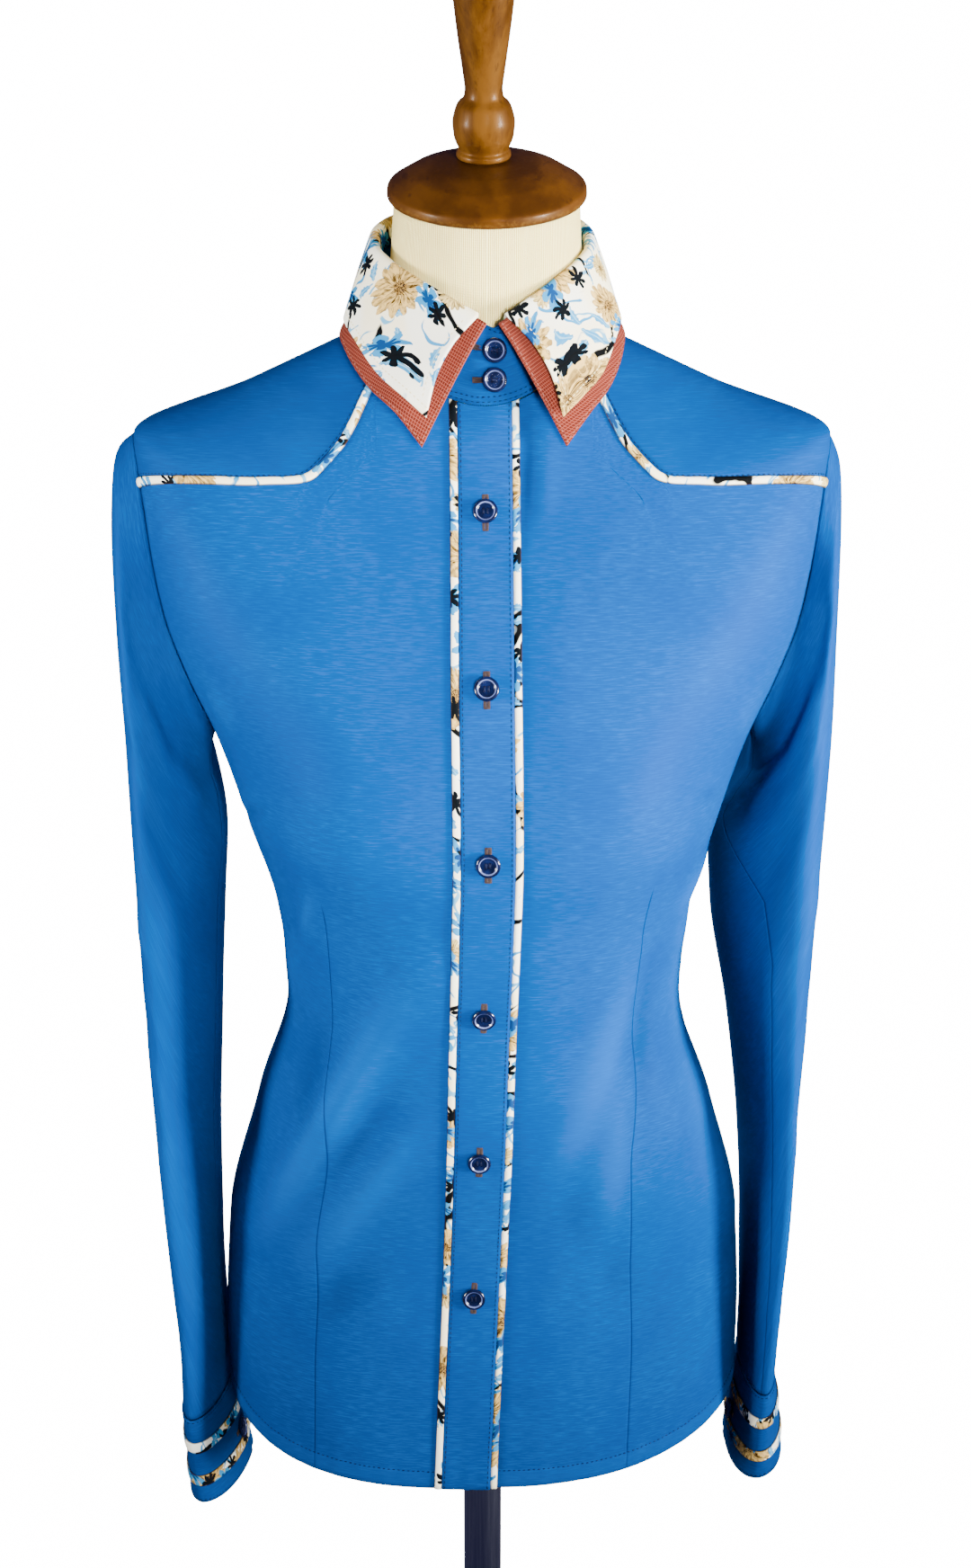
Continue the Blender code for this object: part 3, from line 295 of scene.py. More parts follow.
# Sleeves: one row for each section, which passes its outer, inner, front and back points
SLEEVE_COLUMNS = ("right_out", "right_in", "left_out", "left_in", "out_z", "in_z", "right_turn", "left_turn",
                  "back_turn", "front_y", "front_z", "back_y", "back_z", "square")
SLEEVE_ROWS = (
    (207.0, 161.5, 201.5, 161.5, 1321.0, 1146.0, 0.72, 0.72, 0.70, -52.0, 1236.0, 54.0, 1236.0, 2.0),
    (208.5, 162.5, 202.5, 161.0, 1292.0, 1131.0, 0.74, 0.74, 0.66, -58.0, 1210.0, 60.0, 1210.0, 2.0),
    (206.5, 159.0, 201.0, 151.0, 1242.0, 1114.0, 0.76, 0.76, 0.58, -63.0, 1171.0, 64.0, 1171.0, 2.0),
    (203.5, 157.5, 199.0, 139.5, 1166.0, 1088.0, 0.76, 0.76, 0.50, -67.0, 1118.0, 66.0, 1118.0, 2.0),
    (201.0, 162.0, 195.0, 143.0, 1070.0, 1040.0, 0.76, 0.76, 0.46, -68.0, 1052.0, 64.0, 1048.0, 2.1),
    (198.5, 166.5, 192.0, 155.5, 975.0, 965.0, 0.76, 0.76, 0.46, -67.0, 970.0, 60.0, 966.0, 2.1),
    (195.5, 169.5, 190.0, 164.5, 890.0, 885.0, 0.74, 0.72, 0.46, -65.0, 888.0, 56.0, 884.0, 2.1),
    (193.0, 169.5, 189.0, 168.0, 815.0, 812.0, 0.72, 0.66, 0.48, -63.0, 813.0, 50.0, 808.0, 2.1),
    (190.0, 167.5, 187.5, 168.0, 760.0, 757.0, 0.72, 0.58, 0.50, -62.0, 761.0, 44.0, 753.0, 2.1),
    (189.0, 166.5, 186.0, 167.5, 723.0, 717.0, 0.72, 0.52, 0.50, -61.0, 723.0, 38.0, 711.0, 2.1),
)

# Soft folds of the sleeves, as above but in degrees round from the outer side towards the front
SLEEVE_FOLD_ROWS = {
    Side.RIGHT: (
        (84.0, 1236.0, 128.0, 1150.0, 7.0, -1.5),
        (100.0, 1180.0, 146.0, 1120.0, 9.0, 1.8),
        (70.0, 1160.0, 120.0, 1084.0, 11.0, -1.2),
        (64.0, 1050.0, 116.0, 1006.0, 12.0, 1.1),
        (58.0, 990.0, 104.0, 950.0, 12.0, -1.0),
        (76.0, 900.0, 96.0, 790.0, 13.0, 1.3),
        (44.0, 860.0, 60.0, 760.0, 12.0, -1.0),
    ),
    Side.LEFT: (
        (84.0, 1236.0, 126.0, 1156.0, 7.0, -1.5),
        (98.0, 1186.0, 144.0, 1120.0, 9.0, 1.8),
        (72.0, 1170.0, 118.0, 1090.0, 11.0, -1.2),
        (60.0, 1066.0, 112.0, 1014.0, 12.0, 1.1),
        (56.0, 1000.0, 100.0, 948.0, 12.0, -1.0),
        (72.0, 910.0, 98.0, 800.0, 13.0, 1.3),
        (42.0, 870.0, 58.0, 770.0, 12.0, -1.0),
    ),
}

# Underarm seams of the sleeves: rows of (height, degrees round), from the bottom up
SLEEVE_SEAM_ROWS = {
    Side.RIGHT: ((700.0, 176.0), (1300.0, 176.0)),
    Side.LEFT: ((750.0, 104.0), (800.0, 108.0), (870.0, 117.0), (960.0, 118.0), (1030.0, 112.0),
                (1075.0, 122.0), (1110.0, 146.0), (1150.0, 172.0)),
}

# Cuffs: the same points at the top and the bottom edge of each
CUFF_ROWS = (
    (189.5, 166.0, 186.5, 167.5, 722.3, 716.3, 0.72, 0.50, 0.50, -61.5, 722.3, 38.5, 710.3, 2.2),
    (186.0, 155.0, 194.0, 160.0, 664.0, 656.0, 0.72, 0.44, 0.44, -62.0, 664.0, 38.0, 650.0, 2.2),
)

# Collar: half of it, from the centre back to the front. The fold, the middle of the fall and its edge.
COLLAR_ROWS = (
    (0.0, 64.0, 1454.0, 0.0, 74.0, 1427.0, 0.0, 80.0, 1396.0),
    (21.0, 61.0, 1453.5, 24.0, 71.0, 1427.0, 25.0, 77.0, 1396.5),
    (40.0, 52.0, 1451.5, 46.0, 60.0, 1426.0, 49.0, 65.0, 1397.5),
    (55.5, 35.0, 1447.0, 62.5, 39.0, 1424.0, 68.0, 42.0, 1400.5),
    (62.0, 12.0, 1440.5, 70.0, 12.0, 1419.0, 76.5, 13.0, 1399.0),
    (61.0, -12.0, 1433.0, 70.0, -14.0, 1412.0, 77.0, -17.0, 1394.5),
    (52.5, -33.5, 1424.5, 62.5, -38.0, 1400.0, 70.5, -42.5, 1382.5),
    (38.5, -50.0, 1415.5, 53.0, -58.0, 1386.0, 60.5, -63.0, 1367.0),
    (22.5, -62.0, 1406.0, 39.5, -72.0, 1376.5, 48.5, -78.0, 1356.5),
    (7.5, -69.0, 1397.5, 26.5, -80.0, 1375.0, 36.5, -86.0, 1346.0),
)


# The cut of each piece: its rectangle's width and length in metres, how it is held, and the share of the
# rectangle that the cut fills
CUTS = {
    "front": ((0.262, 0.665), Hold.DRAPED, 0.80),
    "yoke": ((0.170, 0.110), Hold.DRAPED, 0.60),
    "yoke_piping": ((0.020, 0.210), Hold.LAID, 0.35),
    "placket": ((0.030, 0.665), Hold.LAID, 1.0),
    "placket_piping": ((0.012, 0.665), Hold.LAID, 0.45),
    "back": ((0.480, 0.730), Hold.DRAPED, 0.78),
    "sleeve": ((0.300, 0.590), Hold.HUNG, 0.82),
    "cuff": ((0.250, 0.062), Hold.HUNG, 1.0),
    "cuff_strip": ((0.232, 0.010), Hold.LAID, 0.80),
    "collar_top": ((0.480, 0.078), Hold.FOLDED, 0.78),
    "collar_under": ((0.489, 0.074), Hold.FOLDED, 0.76),
    "collar_stand": ((0.457, 0.050), Hold.STRETCHED, 0.80),
}

# Where on the printed cloth the corner of each tape was cut, in millimetres
BOLT_PLACES = {
    "yoke_piping_right": (31.0, -12.0), "yoke_piping_left": (307.0, -71.0),
    "placket_piping_right": (83.0, -140.0), "placket_piping_left": (151.0, -907.0),
    "cuff_strip_right_upper": (410.0, -33.0), "cuff_strip_right_lower": (705.0, -81.0),
    "cuff_strip_left_upper": (512.0, -118.0), "cuff_strip_left_lower": (951.0, -52.0),
}

# The thread of each piece of stitching
THREADS = {
    "hem_stitching": "blue_thread", "yoke_stitching": "blue_thread", "placket_stitching": "blue_thread",
    "cuff_stitching": "blue_thread", "collar_top_stitching": "cream_thread",
    "collar_under_stitching": "rust_thread", "stand_stitching": "blue_thread",
    "button_threads": "navy_thread", "buttonholes": "brown_thread",
}


# ---------------------------------------------------------------------------------------------- surfaces

def monotone(stations: Grid, values: Grid, at: Grid) -> Grid:
    """A monotone cubic through columns of values, so that no ripple forms between two stations.

    Between two stations a value is the cubic Hermite curve whose end slopes are weighted harmonic means
    of the slopes on both sides, or zero where those disagree in sign.

    Args:
        stations: rising positions, one for each row of values.
        values: one row for each station, with any number of further axes.
        at: positions at which the curve is wanted.

    Returns:
        The values at those positions, with at's shape followed by the further axes.
    """
    x = np.asarray(stations, float)
    y = np.asarray(values, float)
    at = np.asarray(at, float)
    tail = (1,) * (y.ndim - 1)
    step = np.diff(x).reshape((-1,) + tail)
    slope = np.diff(y, axis=0) / step
    tangent = np.zeros_like(y)
    tangent[0], tangent[-1] = slope[0], slope[-1]
    if len(x) > 2:
        before, after = slope[:-1], slope[1:]
        agree = before * after > 0.0
        weight_a = 2.0 * step[1:] + step[:-1]
        weight_b = step[1:] + 2.0 * step[:-1]
        mean = (weight_a + weight_b) / (weight_a / np.where(agree, before, 1.0)
                                        + weight_b / np.where(agree, after, 1.0))
        tangent[1:-1] = np.where(agree, mean, 0.0)
    i = np.clip(np.searchsorted(x, at, side="right") - 1, 0, len(x) - 2)
    t = ((at - x[i]) / np.diff(x)[i]).reshape(at.shape + tail)
    return (y[i] * (1.0 + 2.0 * t) * (1.0 - t) ** 2 + y[i + 1] * t * t * (3.0 - 2.0 * t)
            + step[i] * (tangent[i] * t * (1.0 - t) ** 2 + tangent[i + 1] * t * t * (t - 1.0)))


def divisions(lengths: Iterable[float], spacing: float, least: int = 1) -> list[int]:
    """How many equal parts each length is cut into to come near a spacing."""
    return [max(least, int(math.ceil(length / spacing))) for length in lengths]


def fine_stations(counts: list[int]) -> Grid:
    """Positions along a control line whose intervals are divided into these counts."""
    inner = [k + np.arange(n) / n for k, n in enumerate(counts)]
    return np.concatenate(inner + [np.array([float(len(counts))])])


def refined(values: Grid, row_counts: list[int], column_counts: list[int]) -> Grid:
    """A control grid's values on a finer grid, smooth along its rows and its columns."""
    rows = monotone(np.arange(values.shape[0]), values, fine_stations(row_counts))
    columns = monotone(np.arange(values.shape[1]), np.moveaxis(rows, 1, 0), fine_stations(column_counts))
    return np.moveaxis(columns, 0, 1)


def interval_counts(points: Grid, axis: int, spacing: float) -> list[int]:
    """How many times to divide each interval of a control grid to come near a spacing."""
    distance = np.linalg.norm(np.diff(points, axis=axis), axis=-1)
    return divisions(distance.max(axis=1 - axis), spacing)


def ridges(rows: tuple, across: Grid, up: Grid, ends: float = 1.0) -> Grid:
    """Sum of soft ridges, each a Gaussian of the distance to its own segment times its height.

    Towards both ends of its segment the height falls to a share of it, with a sine.
    """
    height = np.zeros(np.broadcast(across, up).shape)
    for x1, z1, x2, z2, width, rise in rows:
        along = ((across - x1) * (x2 - x1) + (up - z1) * (z2 - z1)) / ((x2 - x1) ** 2 + (z2 - z1) ** 2)
        along = np.clip(along, 0.0, 1.0)
        distance = np.hypot(across - x1 - along * (x2 - x1), up - z1 - along * (z2 - z1))
        taper = ends + (1.0 - ends) * np.sin(np.pi * along)
        height += rise * taper * np.exp(-(distance / width) ** 2)
    return height


def smooth_step(value: Grid, low: float, high: float) -> Grid:
    """Nought below low, one above high, and the cubic 3t^2 - 2t^3 between them."""
    t = np.clip((value - low) / (high - low), 0.0, 1.0)
    return t * t * (3.0 - 2.0 * t)


def soft_waves(across: Grid, up: Grid, seed: int, count: int = 9) -> Grid:
    """Slow unevenness of worn cloth: a sum of sines of seeded directions, 60 to 190 mm long."""
    random = np.random.default_rng(seed)
    total = np.zeros(np.broadcast(across, up).shape)
    for _ in range(count):
        length = random.uniform(60.0, 190.0)
        turn = random.uniform(-0.9, 0.9)
        phase = random.uniform(0.0, 2.0 * math.pi)
        total += np.sin(2.0 * math.pi / length * (across * math.cos(turn) + up * math.sin(turn)) + phase)
    return total / count


def unit(vectors: Grid) -> Grid:
    """Vectors of length one in the same directions."""
    return vectors / np.maximum(np.linalg.norm(vectors, axis=-1, keepdims=True), TINY)


def outward_normals(points: Grid, outward: Grid, closed: bool = False) -> Grid:
    """Unit normals of a grid, turned to agree with rough outward directions.

    A normal is the cross product of the differences across and along the grid; closed joins its last
    column to its first.
    """
    if closed:
        points = np.concatenate([points[:, -1:], points, points[:, :1]], axis=1)
    normal = unit(np.cross(np.gradient(points, axis=1), np.gradient(points, axis=0)))
    normal = normal[:, 1:-1] if closed else normal
    sign = np.sign(np.sum(normal * outward, axis=-1, keepdims=True))
    return normal * np.where(sign == 0.0, 1.0, sign)


def away_from_axis(points: Grid) -> Grid:
    """Level directions out of the torso's vertical middle line."""
    return unit(points * np.array([1.0, 1.0, 0.0]))


def body_normals(points: Grid, tilt: float = 0.0) -> Grid:
    """The normals of cloth round the body, turned away from its middle line, or a little upwards."""
    return outward_normals(points, away_from_axis(points) + np.array([0.0, 0.0, tilt]))


def parabola(first: Grid, middle: Grid, last: Grid, share: Grid) -> Grid:
    """Points on the parabola that passes the first point at nought, the middle at a half, the last at one."""
    return (first * (1.0 - share) * (1.0 - 2.0 * share) + middle * 4.0 * share * (1.0 - share)
            + last * share * (2.0 * share - 1.0))


def drawn_in(points: Grid, **edges: float) -> Grid:
    """Pull a grid's edges back along the surface by these distances.

    Args:
        points: the grid.
        edges: first_row, last_row, first_column and last_column, in millimetres.

    Returns:
        A copy with those edges moved towards their neighbours.
    """
    points = points.copy()
    pulls = {"first_row": (points[1] - points[0], 0, 0), "last_row": (points[-2] - points[-1], 0, -1),
             "first_column": (points[:, 1] - points[:, 0], 1, 0),
             "last_column": (points[:, -2] - points[:, -1], 1, -1)}
    for edge, distance in edges.items():
        step, axis, index = pulls[edge]
        if axis == 0:
            points[index] += unit(step) * distance
        else:
            points[:, index] += unit(step) * distance
    return points


class Torso:
    """The surface that the body panels lie on: angle from the centre front, and distance down it."""

    def columns(self, down: Grid) -> dict[str, Grid]:
        """The torso table's columns at these distances down, by name."""
        table = np.array(TORSO_ROWS)
        found = monotone(table[:, 0], table[:, 1:], down)
        return {name: found[..., k] for k, name in enumerate(TORSO_COLUMNS[1:])}

    def at(self, angle: Grid, down: Grid, folded: bool = True) -> Grid:
        """Points of the torso.

        A ring is a superellipse: x is the half width times sine to the power 2 / square, y runs from the
        side's depth towards the front's or the back's by cosine to the same power, and z moves from the
        side's height to the front's or the back's by cosine squared.

        Args:
            angle: radians from the centre front towards the wearer's left.
            down: millimetres down the centre front from the collar seam.
            folded: whether the broad folds are added.

        Returns:
            An array of points with one further axis for x, y and z.
        """
        angle, down = np.broadcast_arrays(np.asarray(angle, float), np.asarray(down, float))
        c = self.columns(down)
        sine, cosine = np.sin(angle), np.cos(angle)
        power = 2.0 / c["square"]
        front = cosine > 0.0
        x = c["half_width"] * np.sign(sine) * np.abs(sine) ** power
        reach = np.where(front, c["front_y"], c["back_y"]) - c["side_y"]
        y = c["side_y"] + reach * np.abs(cosine) ** power
        rise = np.where(front, c["front_z"], c["back_z"]) - c["side_z"]
        z = c["side_z"] + rise * cosine ** 2 - c["dip"] * np.sin(2.0 * angle) ** 2
        x = x + np.where(front, c["front_x"], 0.0) * cosine ** 2
        if folded:
            lift = ridges(FOLD_ROWS, x, z) * np.clip(cosine * 3.0, 0.0, 1.0)
            x = x + lift * sine * 0.4
            y = y - lift
        return np.stack([x, y, z], axis=-1)

    def angle_at_width(self, width: Grid, down: Grid) -> Grid:
        """The angle at which a ring is this far to either side of its centre front."""
        c = self.columns(down)
        return np.sign(width) * np.arcsin(np.clip(np.abs(width) / c["half_width"], 0.0, 1.0)
                                          ** (c["square"] / 2.0))

    def width_at_angle(self, angle: Grid, down: Grid) -> Grid:
        """The reverse of angle_at_width, for angles towards the wearer's left."""
        c = self.columns(down)
        return c["half_width"] * np.sin(angle) ** (2.0 / c["square"])

    def armhole(self, down: Grid, which: str) -> Grid:
        """Where a panel's side edge lies on a ring, in radians from its own centre line."""
        down = np.asarray(down, float)
        table = np.array(ARMHOLE_ROWS)
        inside = (down > TIP_DOWN) & (down < ARMPIT_DOWN)
        degrees = np.interp(np.clip(down, TIP_DOWN, ARMPIT_DOWN), table[:, 0],
                            table[:, ARMHOLE_COLUMNS.index(which)])
        return np.radians(np.where(inside, degrees, 90.0))

    def step_across(self, angle: Grid, down: Grid, distance: float) -> tuple[Grid, Grid]:
        """Move a line of surface points sideways, away from the yoke, by a distance along the cloth.

        The move is solved in the surface's own two directions from its dot products with them.
        """
        small = 0.001
        here = self.at(angle, down, folded=False)
        by_angle = (self.at(angle + small, down, folded=False) - here) / small
        by_down = (self.at(angle, down + small, folded=False) - here) / small
        across = unit(np.cross(np.cross(by_angle, by_down), unit(np.gradient(here, axis=0))))
        across *= np.sign(across @ np.array([-1.0, 0.0, -1.0]))[:, None] * distance
        aa, ab, bb = (np.sum(u * v, axis=-1)
                      for u, v in ((by_angle, by_angle), (by_angle, by_down), (by_down, by_down)))
        ra, rb = np.sum(by_angle * across, axis=-1), np.sum(by_down * across, axis=-1)
        determinant = aa * bb - ab * ab
        return angle + (ra * bb - rb * ab) / determinant, down + (rb * aa - ra * ab) / determinant

    def relief(self, points: Grid, down: Grid) -> Grid:
        """Small folds, unevenness and the turned hem, in millimetres out of the smooth surface."""
        x, y, z = points[..., 0], points[..., 1], points[..., 2]
        front = smooth_step(-y, -20.0, 40.0)
        lift = front * ridges(CREASE_ROWS, x, z, ends=WEAR.crease_ends)
        lift = lift + (1.0 - front) * ridges(BACK_CREASE_ROWS, x, z)
        free = smooth_step(1290.0 - z, 0.0, 160.0)
        lift = lift + WEAR.body_wave * free * soft_waves(x + np.sign(y) * 300.0, z, seed=7)
        low = smooth_step(840.0 - z, 0.0, 90.0)
        ripple = (np.sin(z * 2.0 * math.pi / WEAR.ripple_length + x * 0.05)
                  * np.exp(-((x + 8.0) / 34.0) ** 2))
        lift = lift + WEAR.placket_ripple * low * front * ripple
        hem = smooth_step(HEM_DOWN - down, HEM_DEPTH + 0.8, HEM_DEPTH - 0.6)
        pucker = np.sin(x * 2.0 * math.pi / WEAR.pucker_length + 1.7 * np.sin(x / 29.0))
        near_hem = np.exp(-((HEM_DOWN - down - HEM_DEPTH) / 11.0) ** 2)
        return lift + WEAR.hem_fold * hem + WEAR.hem_pucker * near_hem * pucker

    def hem_mark(self, down: Grid) -> Grid:
        """One on the turned hem and nought above its fold line, for the cloth."""
        return smooth_step(HEM_DOWN - down, HEM_DEPTH + 2.0, HEM_DEPTH - 2.0)


TORSO = Torso()


# ------------------------------------------------------------------------------------------------- meshes

class Model:
    """The materials, and the ways in which meshes come into the scene and are tied to the root body."""

    def __init__(self) -> None:
        self.materials: dict[str, bpy.types.Material] = {}

    def add(self, mesh: bpy.types.Mesh, material: str, replaces: tuple[str, ...] = ()) -> bpy.types.Object:
        """Put a mesh in the scene as a piece that rides on the root body.

        Args:
            mesh: its mesh, in metres, which also names it.
            material: the name of its material.
            replaces: the CAD nodes that it stands for.

        Returns:
            The new object.
        """
        piece = bpy.data.objects.new(mesh.name, mesh)
        mesh.materials.append(self.materials[material])
        bpy.context.scene.collection.objects.link(piece)
        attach(piece, "root")
        if replaces:
            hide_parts(*replaces)
        log.info("%s in %s", piece.name, material)
        return piece

    def cloth(self, node: str, cut: str, material: str, points: Grid, ending: str = "cloth",
              wall: float = CLOTH.visible_wall, **options) -> None:
        """Make a piece of cloth with its thickness, half on each side, and log its area beside its cut's.

        Args:
            node: the CAD node that it stands for, which also names it.
            cut: the name of its cut.
            material: the name of its material.
            points: its grid, in millimetres.
            ending: the last word of its name.
            wall: its thickness, in millimetres.
            options: what else its mesh is given.
        """
        piece = self.add(quad_mesh(node + "_" + ending, points, **options), material, (node,))
        thickness = piece.modifiers.new("wall", "SOLIDIFY")
        thickness.thickness = wall * MM
        thickness.offset = 0.0
        if options.get("closed"):
            points = np.concatenate([points, points[:, :1]], axis=1)
        self.declare(piece, points, *CUTS[cut])

    def declare(self, piece: bpy.types.Object, points: Grid, flat: tuple[float, float], hold: Hold,
                share: float) -> None:
        """Declare a piece as a sheet of cloth that lies on the form or hangs from it.

        Args:
            piece: the cloth.
            points: its grid, whose area is logged beside the flat one.
            flat: width and length of the cut's own rectangle, in metres.
            hold: how it is held; not used.
            share: how much of that rectangle the cut fills.
        """
        first = np.cross(points[1:, :-1] - points[:-1, :-1], points[:-1, 1:] - points[:-1, :-1])
        second = np.cross(points[1:, :-1] - points[1:, 1:], points[:-1, 1:] - points[1:, 1:])
        twice = np.linalg.norm(first, axis=-1).sum() + np.linalg.norm(second, axis=-1).sum()
        area = twice / 2.0 * MM * MM
        area_flat = flat[0] * flat[1] * share
        lengths = np.abs(arc_lengths(points)).max(axis=(0, 1)) * MM
        log.info("%s: cloth %.5f, cut %.5f square metres, %.2f; longest row %.3f m, longest column %.3f m",
                 piece.name, area, area_flat, area / area_flat, lengths[0], lengths[1])
        None if share == 1.0 else area_flat


def loose_mesh(name: str, points: Grid, quads: Grid) -> bpy.types.Mesh:
    """A smooth mesh of quads between points in millimetres, itself in metres."""
    mesh = bpy.data.meshes.new(name)
    mesh.vertices.add(points.size // 3)
    mesh.vertices.foreach_set("co", (points.reshape(-1) * MM).astype(np.float32))
    mesh.loops.add(quads.size)
    mesh.loops.foreach_set("vertex_index", quads.reshape(-1).astype(np.int32))
    mesh.polygons.add(len(quads))
    mesh.polygons.foreach_set("loop_start", (np.arange(len(quads)) * 4).astype(np.int32))
    mesh.update(calc_edges=True)
    mesh.polygons.foreach_set("use_smooth", np.ones(len(quads), bool))
    return mesh


def quad_mesh(name: str, points: Grid, closed: bool = False, uv: Grid | None = None,
              marks: dict[str, Grid] | None = None, pull: bool = False,
              bolt: tuple[float, float] = (0.0, 0.0)) -> bpy.types.Mesh:
    """A mesh of quads on a grid of points, in metres.

    Args:
        name: the mesh's name.
        points: rows by columns by 3, in millimetres.
        closed: whether the last column joins the first.
        uv: rows by columns (one more where closed) by 2, in metres; by arc length when left out.
        marks: per-point values that the material reads, by name.
        pull: whether the first and last rows are single points, as on a turned shape.
        bolt: where on its cloth the grid's first corner was cut, in millimetres.

    Returns:
        The mesh, shaded smooth, with its UV map named cloth.
    """
    rows, columns = points.shape[:2]
    wide = columns + 1 if closed else columns
    corner = np.arange(rows * wide).reshape(rows, wide)
    vertex = np.arange(rows * columns).reshape(rows, columns)
    if closed:
        vertex = np.concatenate([vertex, vertex[:, :1]], axis=1)
    around = ((slice(None, -1), slice(None, -1)), (slice(None, -1), slice(1, None)),
              (slice(1, None), slice(1, None)), (slice(1, None), slice(None, -1)))
    faces = np.stack([vertex[part] for part in around], axis=-1).reshape(-1, 4)
    corners = np.stack([corner[part] for part in around], axis=-1).reshape(-1)
    mesh = loose_mesh(name, points, faces)
    if uv is None:
        uv = (arc_lengths(points, closed) + np.array(bolt)) * MM
    layer = mesh.uv_layers.new(name="cloth")
    layer.uv.foreach_set("vector", uv.reshape(-1, 2)[corners].reshape(-1).astype(np.float32))
    for mark, values in (marks or {}).items():
        attribute = mesh.attributes.new(mark, "FLOAT", "POINT")
        spread = np.broadcast_to(values, (rows, columns)).reshape(-1)
        attribute.data.foreach_set("value", spread.astype(np.float32))
    if pull:
        weld(mesh)
    mesh.validate()
    return mesh


def weld(mesh: bpy.types.Mesh) -> None:
    """Join a mesh's coincident points and drop the faces that close up."""
    shape = bmesh.new()
    shape.from_mesh(mesh)
    bmesh.ops.remove_doubles(shape, verts=shape.verts, dist=2e-6)
    bmesh.ops.recalc_face_normals(shape, faces=shape.faces)
    shape.to_mesh(mesh)
    shape.free()


def arc_lengths(points: Grid, closed: bool = False) -> Grid:
    """Distances along each row and down each column of a grid, from its first column and first row.

    Returns:
        Rows by columns (one more where closed) by 2, in the points' own unit.
    """
    if closed:
        points = np.concatenate([points, points[:, :1]], axis=1)
    across = np.linalg.norm(np.diff(points, axis=1), axis=-1)
    down = np.linalg.norm(np.diff(points, axis=0), axis=-1)
    u = np.concatenate([np.zeros((len(points), 1)), np.cumsum(across, axis=1)], axis=1)
    v = np.concatenate([np.zeros((1, points.shape[1])), np.cumsum(down, axis=0)], axis=0)
    return np.stack([u, -v], axis=-1)


def lathe_points(profile: Grid, sides: int, seat: Grid, axis: Grid) -> tuple[Grid, Grid]:
    """A turned surface.

    Args:
        profile: rows of (radius, height), from the top down.
        sides: how many columns go round it.
        seat: the point on the axis at height nought.
        axis: the unit direction of rising height.

    Returns:
        The points, rows by sides by 3, and each one's radius.
    """
    turn = np.array(Vector(axis).to_track_quat("Z", "Y").to_matrix())
    around = np.linspace(0.0, 2.0 * math.pi, sides, endpoint=False)
    radius, height = profile[:, :1], profile[:, 1:2]
    local = np.stack([radius * np.cos(around), radius * np.sin(around), height + 0.0 * around], axis=-1)
    return np.asarray(seat) + local @ turn.T, radius + 0.0 * around


def rounded_profile(profile: tuple, bevel: float, steps: int = 4) -> Grid:
    """A turned profile with its corners rounded off.

    Each inner corner becomes a quadratic curve that starts and ends a bevel's length from it, or a third
    of the way to the next corner if that is nearer.
    """
    table = np.array(profile, float)
    out = [table[0]]
    for before, here, after in zip(table[:-2], table[1:-1], table[2:]):
        back, ahead = before - here, after - here
        start = here + unit(back) * min(bevel, np.linalg.norm(back) / 3.0)
        end = here + unit(ahead) * min(bevel, np.linalg.norm(ahead) / 3.0)
        for t in np.linspace(0.0, 1.0, steps):
            out.append(start * (1 - t) ** 2 + here * 2 * t * (1 - t) + end * t * t)
    out.append(table[-1])
    return np.array(out)


# ---------------------------------------------------------------------------------------------- stitching

def spaced(points: Grid, facing: Grid, pitch: float) -> tuple[Grid, Grid, Grid]:
    """Even places along a line on the cloth.

    Args:
        points: the line, in millimetres.
        facing: its outward normals.
        pitch: the distance between two places.

    Returns:
        The places, the line's directions there and its outward normals there.
    """
    length = np.concatenate([[0.0], np.cumsum(np.linalg.norm(np.diff(points, axis=0), axis=-1))])
    count = max(2, int(length[-1] / pitch))
    at = (np.arange(count) + 0.5) * length[-1] / count
    small = min(0.4, length[-1] / count / 3.0)

    def along(values: Grid, where: Grid) -> Grid:
        """The line's values at these lengths."""
        return np.stack([np.interp(where, length, values[:, k]) for k in range(3)], axis=-1)

    place = along(points, at)
    direction = unit(along(points, at + small) - along(points, at - small))
    normal = along(facing, at)
    return place, direction, unit(normal - direction * np.sum(normal * direction, axis=-1, keepdims=True))


def stitch_points(place: Grid, direction: Grid, normal: Grid, length: float, thread: float,
                  height: float) -> tuple[Grid, Grid]:
    """Short tapered stitches lying on the cloth.

    Args:
        place: the stitches' middles.
        direction: the way each runs.
        normal: the way each stands out of the cloth.
        length: a stitch's length.
        thread: its radius across.
        height: its radius out of the cloth.

    Returns:
        All points and all quads of the stitches.
    """
    shares = np.array([-1.0, -0.72, 0.0, 0.72, 1.0])
    taper = np.array([0.25, 0.8, 1.0, 0.8, 0.25])
    sink = np.array([-0.7, -0.1, 0.15, -0.1, -0.7])
    around = np.radians([0.0, 60.0, 120.0, 180.0, 270.0])
    across = np.cross(normal, direction)
    rings = (place[:, None, None] + direction[:, None, None] * (shares * length / 2.0)[None, :, None, None]
             + across[:, None, None] * (taper[:, None] * np.cos(around) * thread)[None, ..., None]
             + normal[:, None, None] * ((taper[:, None] * np.sin(around) + sink[:, None])
                                        * height)[None, ..., None])
    cell = np.arange(taper.size * around.size).reshape(taper.size, around.size)
    base = (np.arange(len(place)) * cell.size)[:, None, None, None]
    cell = np.concatenate([cell, cell[:, :1]], axis=1)
    quads = np.stack([cell[:-1, :-1], cell[:-1, 1:], cell[1:, 1:], cell[1:, :-1]], axis=-1)
    return rings.reshape(-1, 3), (quads[None] + base).reshape(-1, 4)


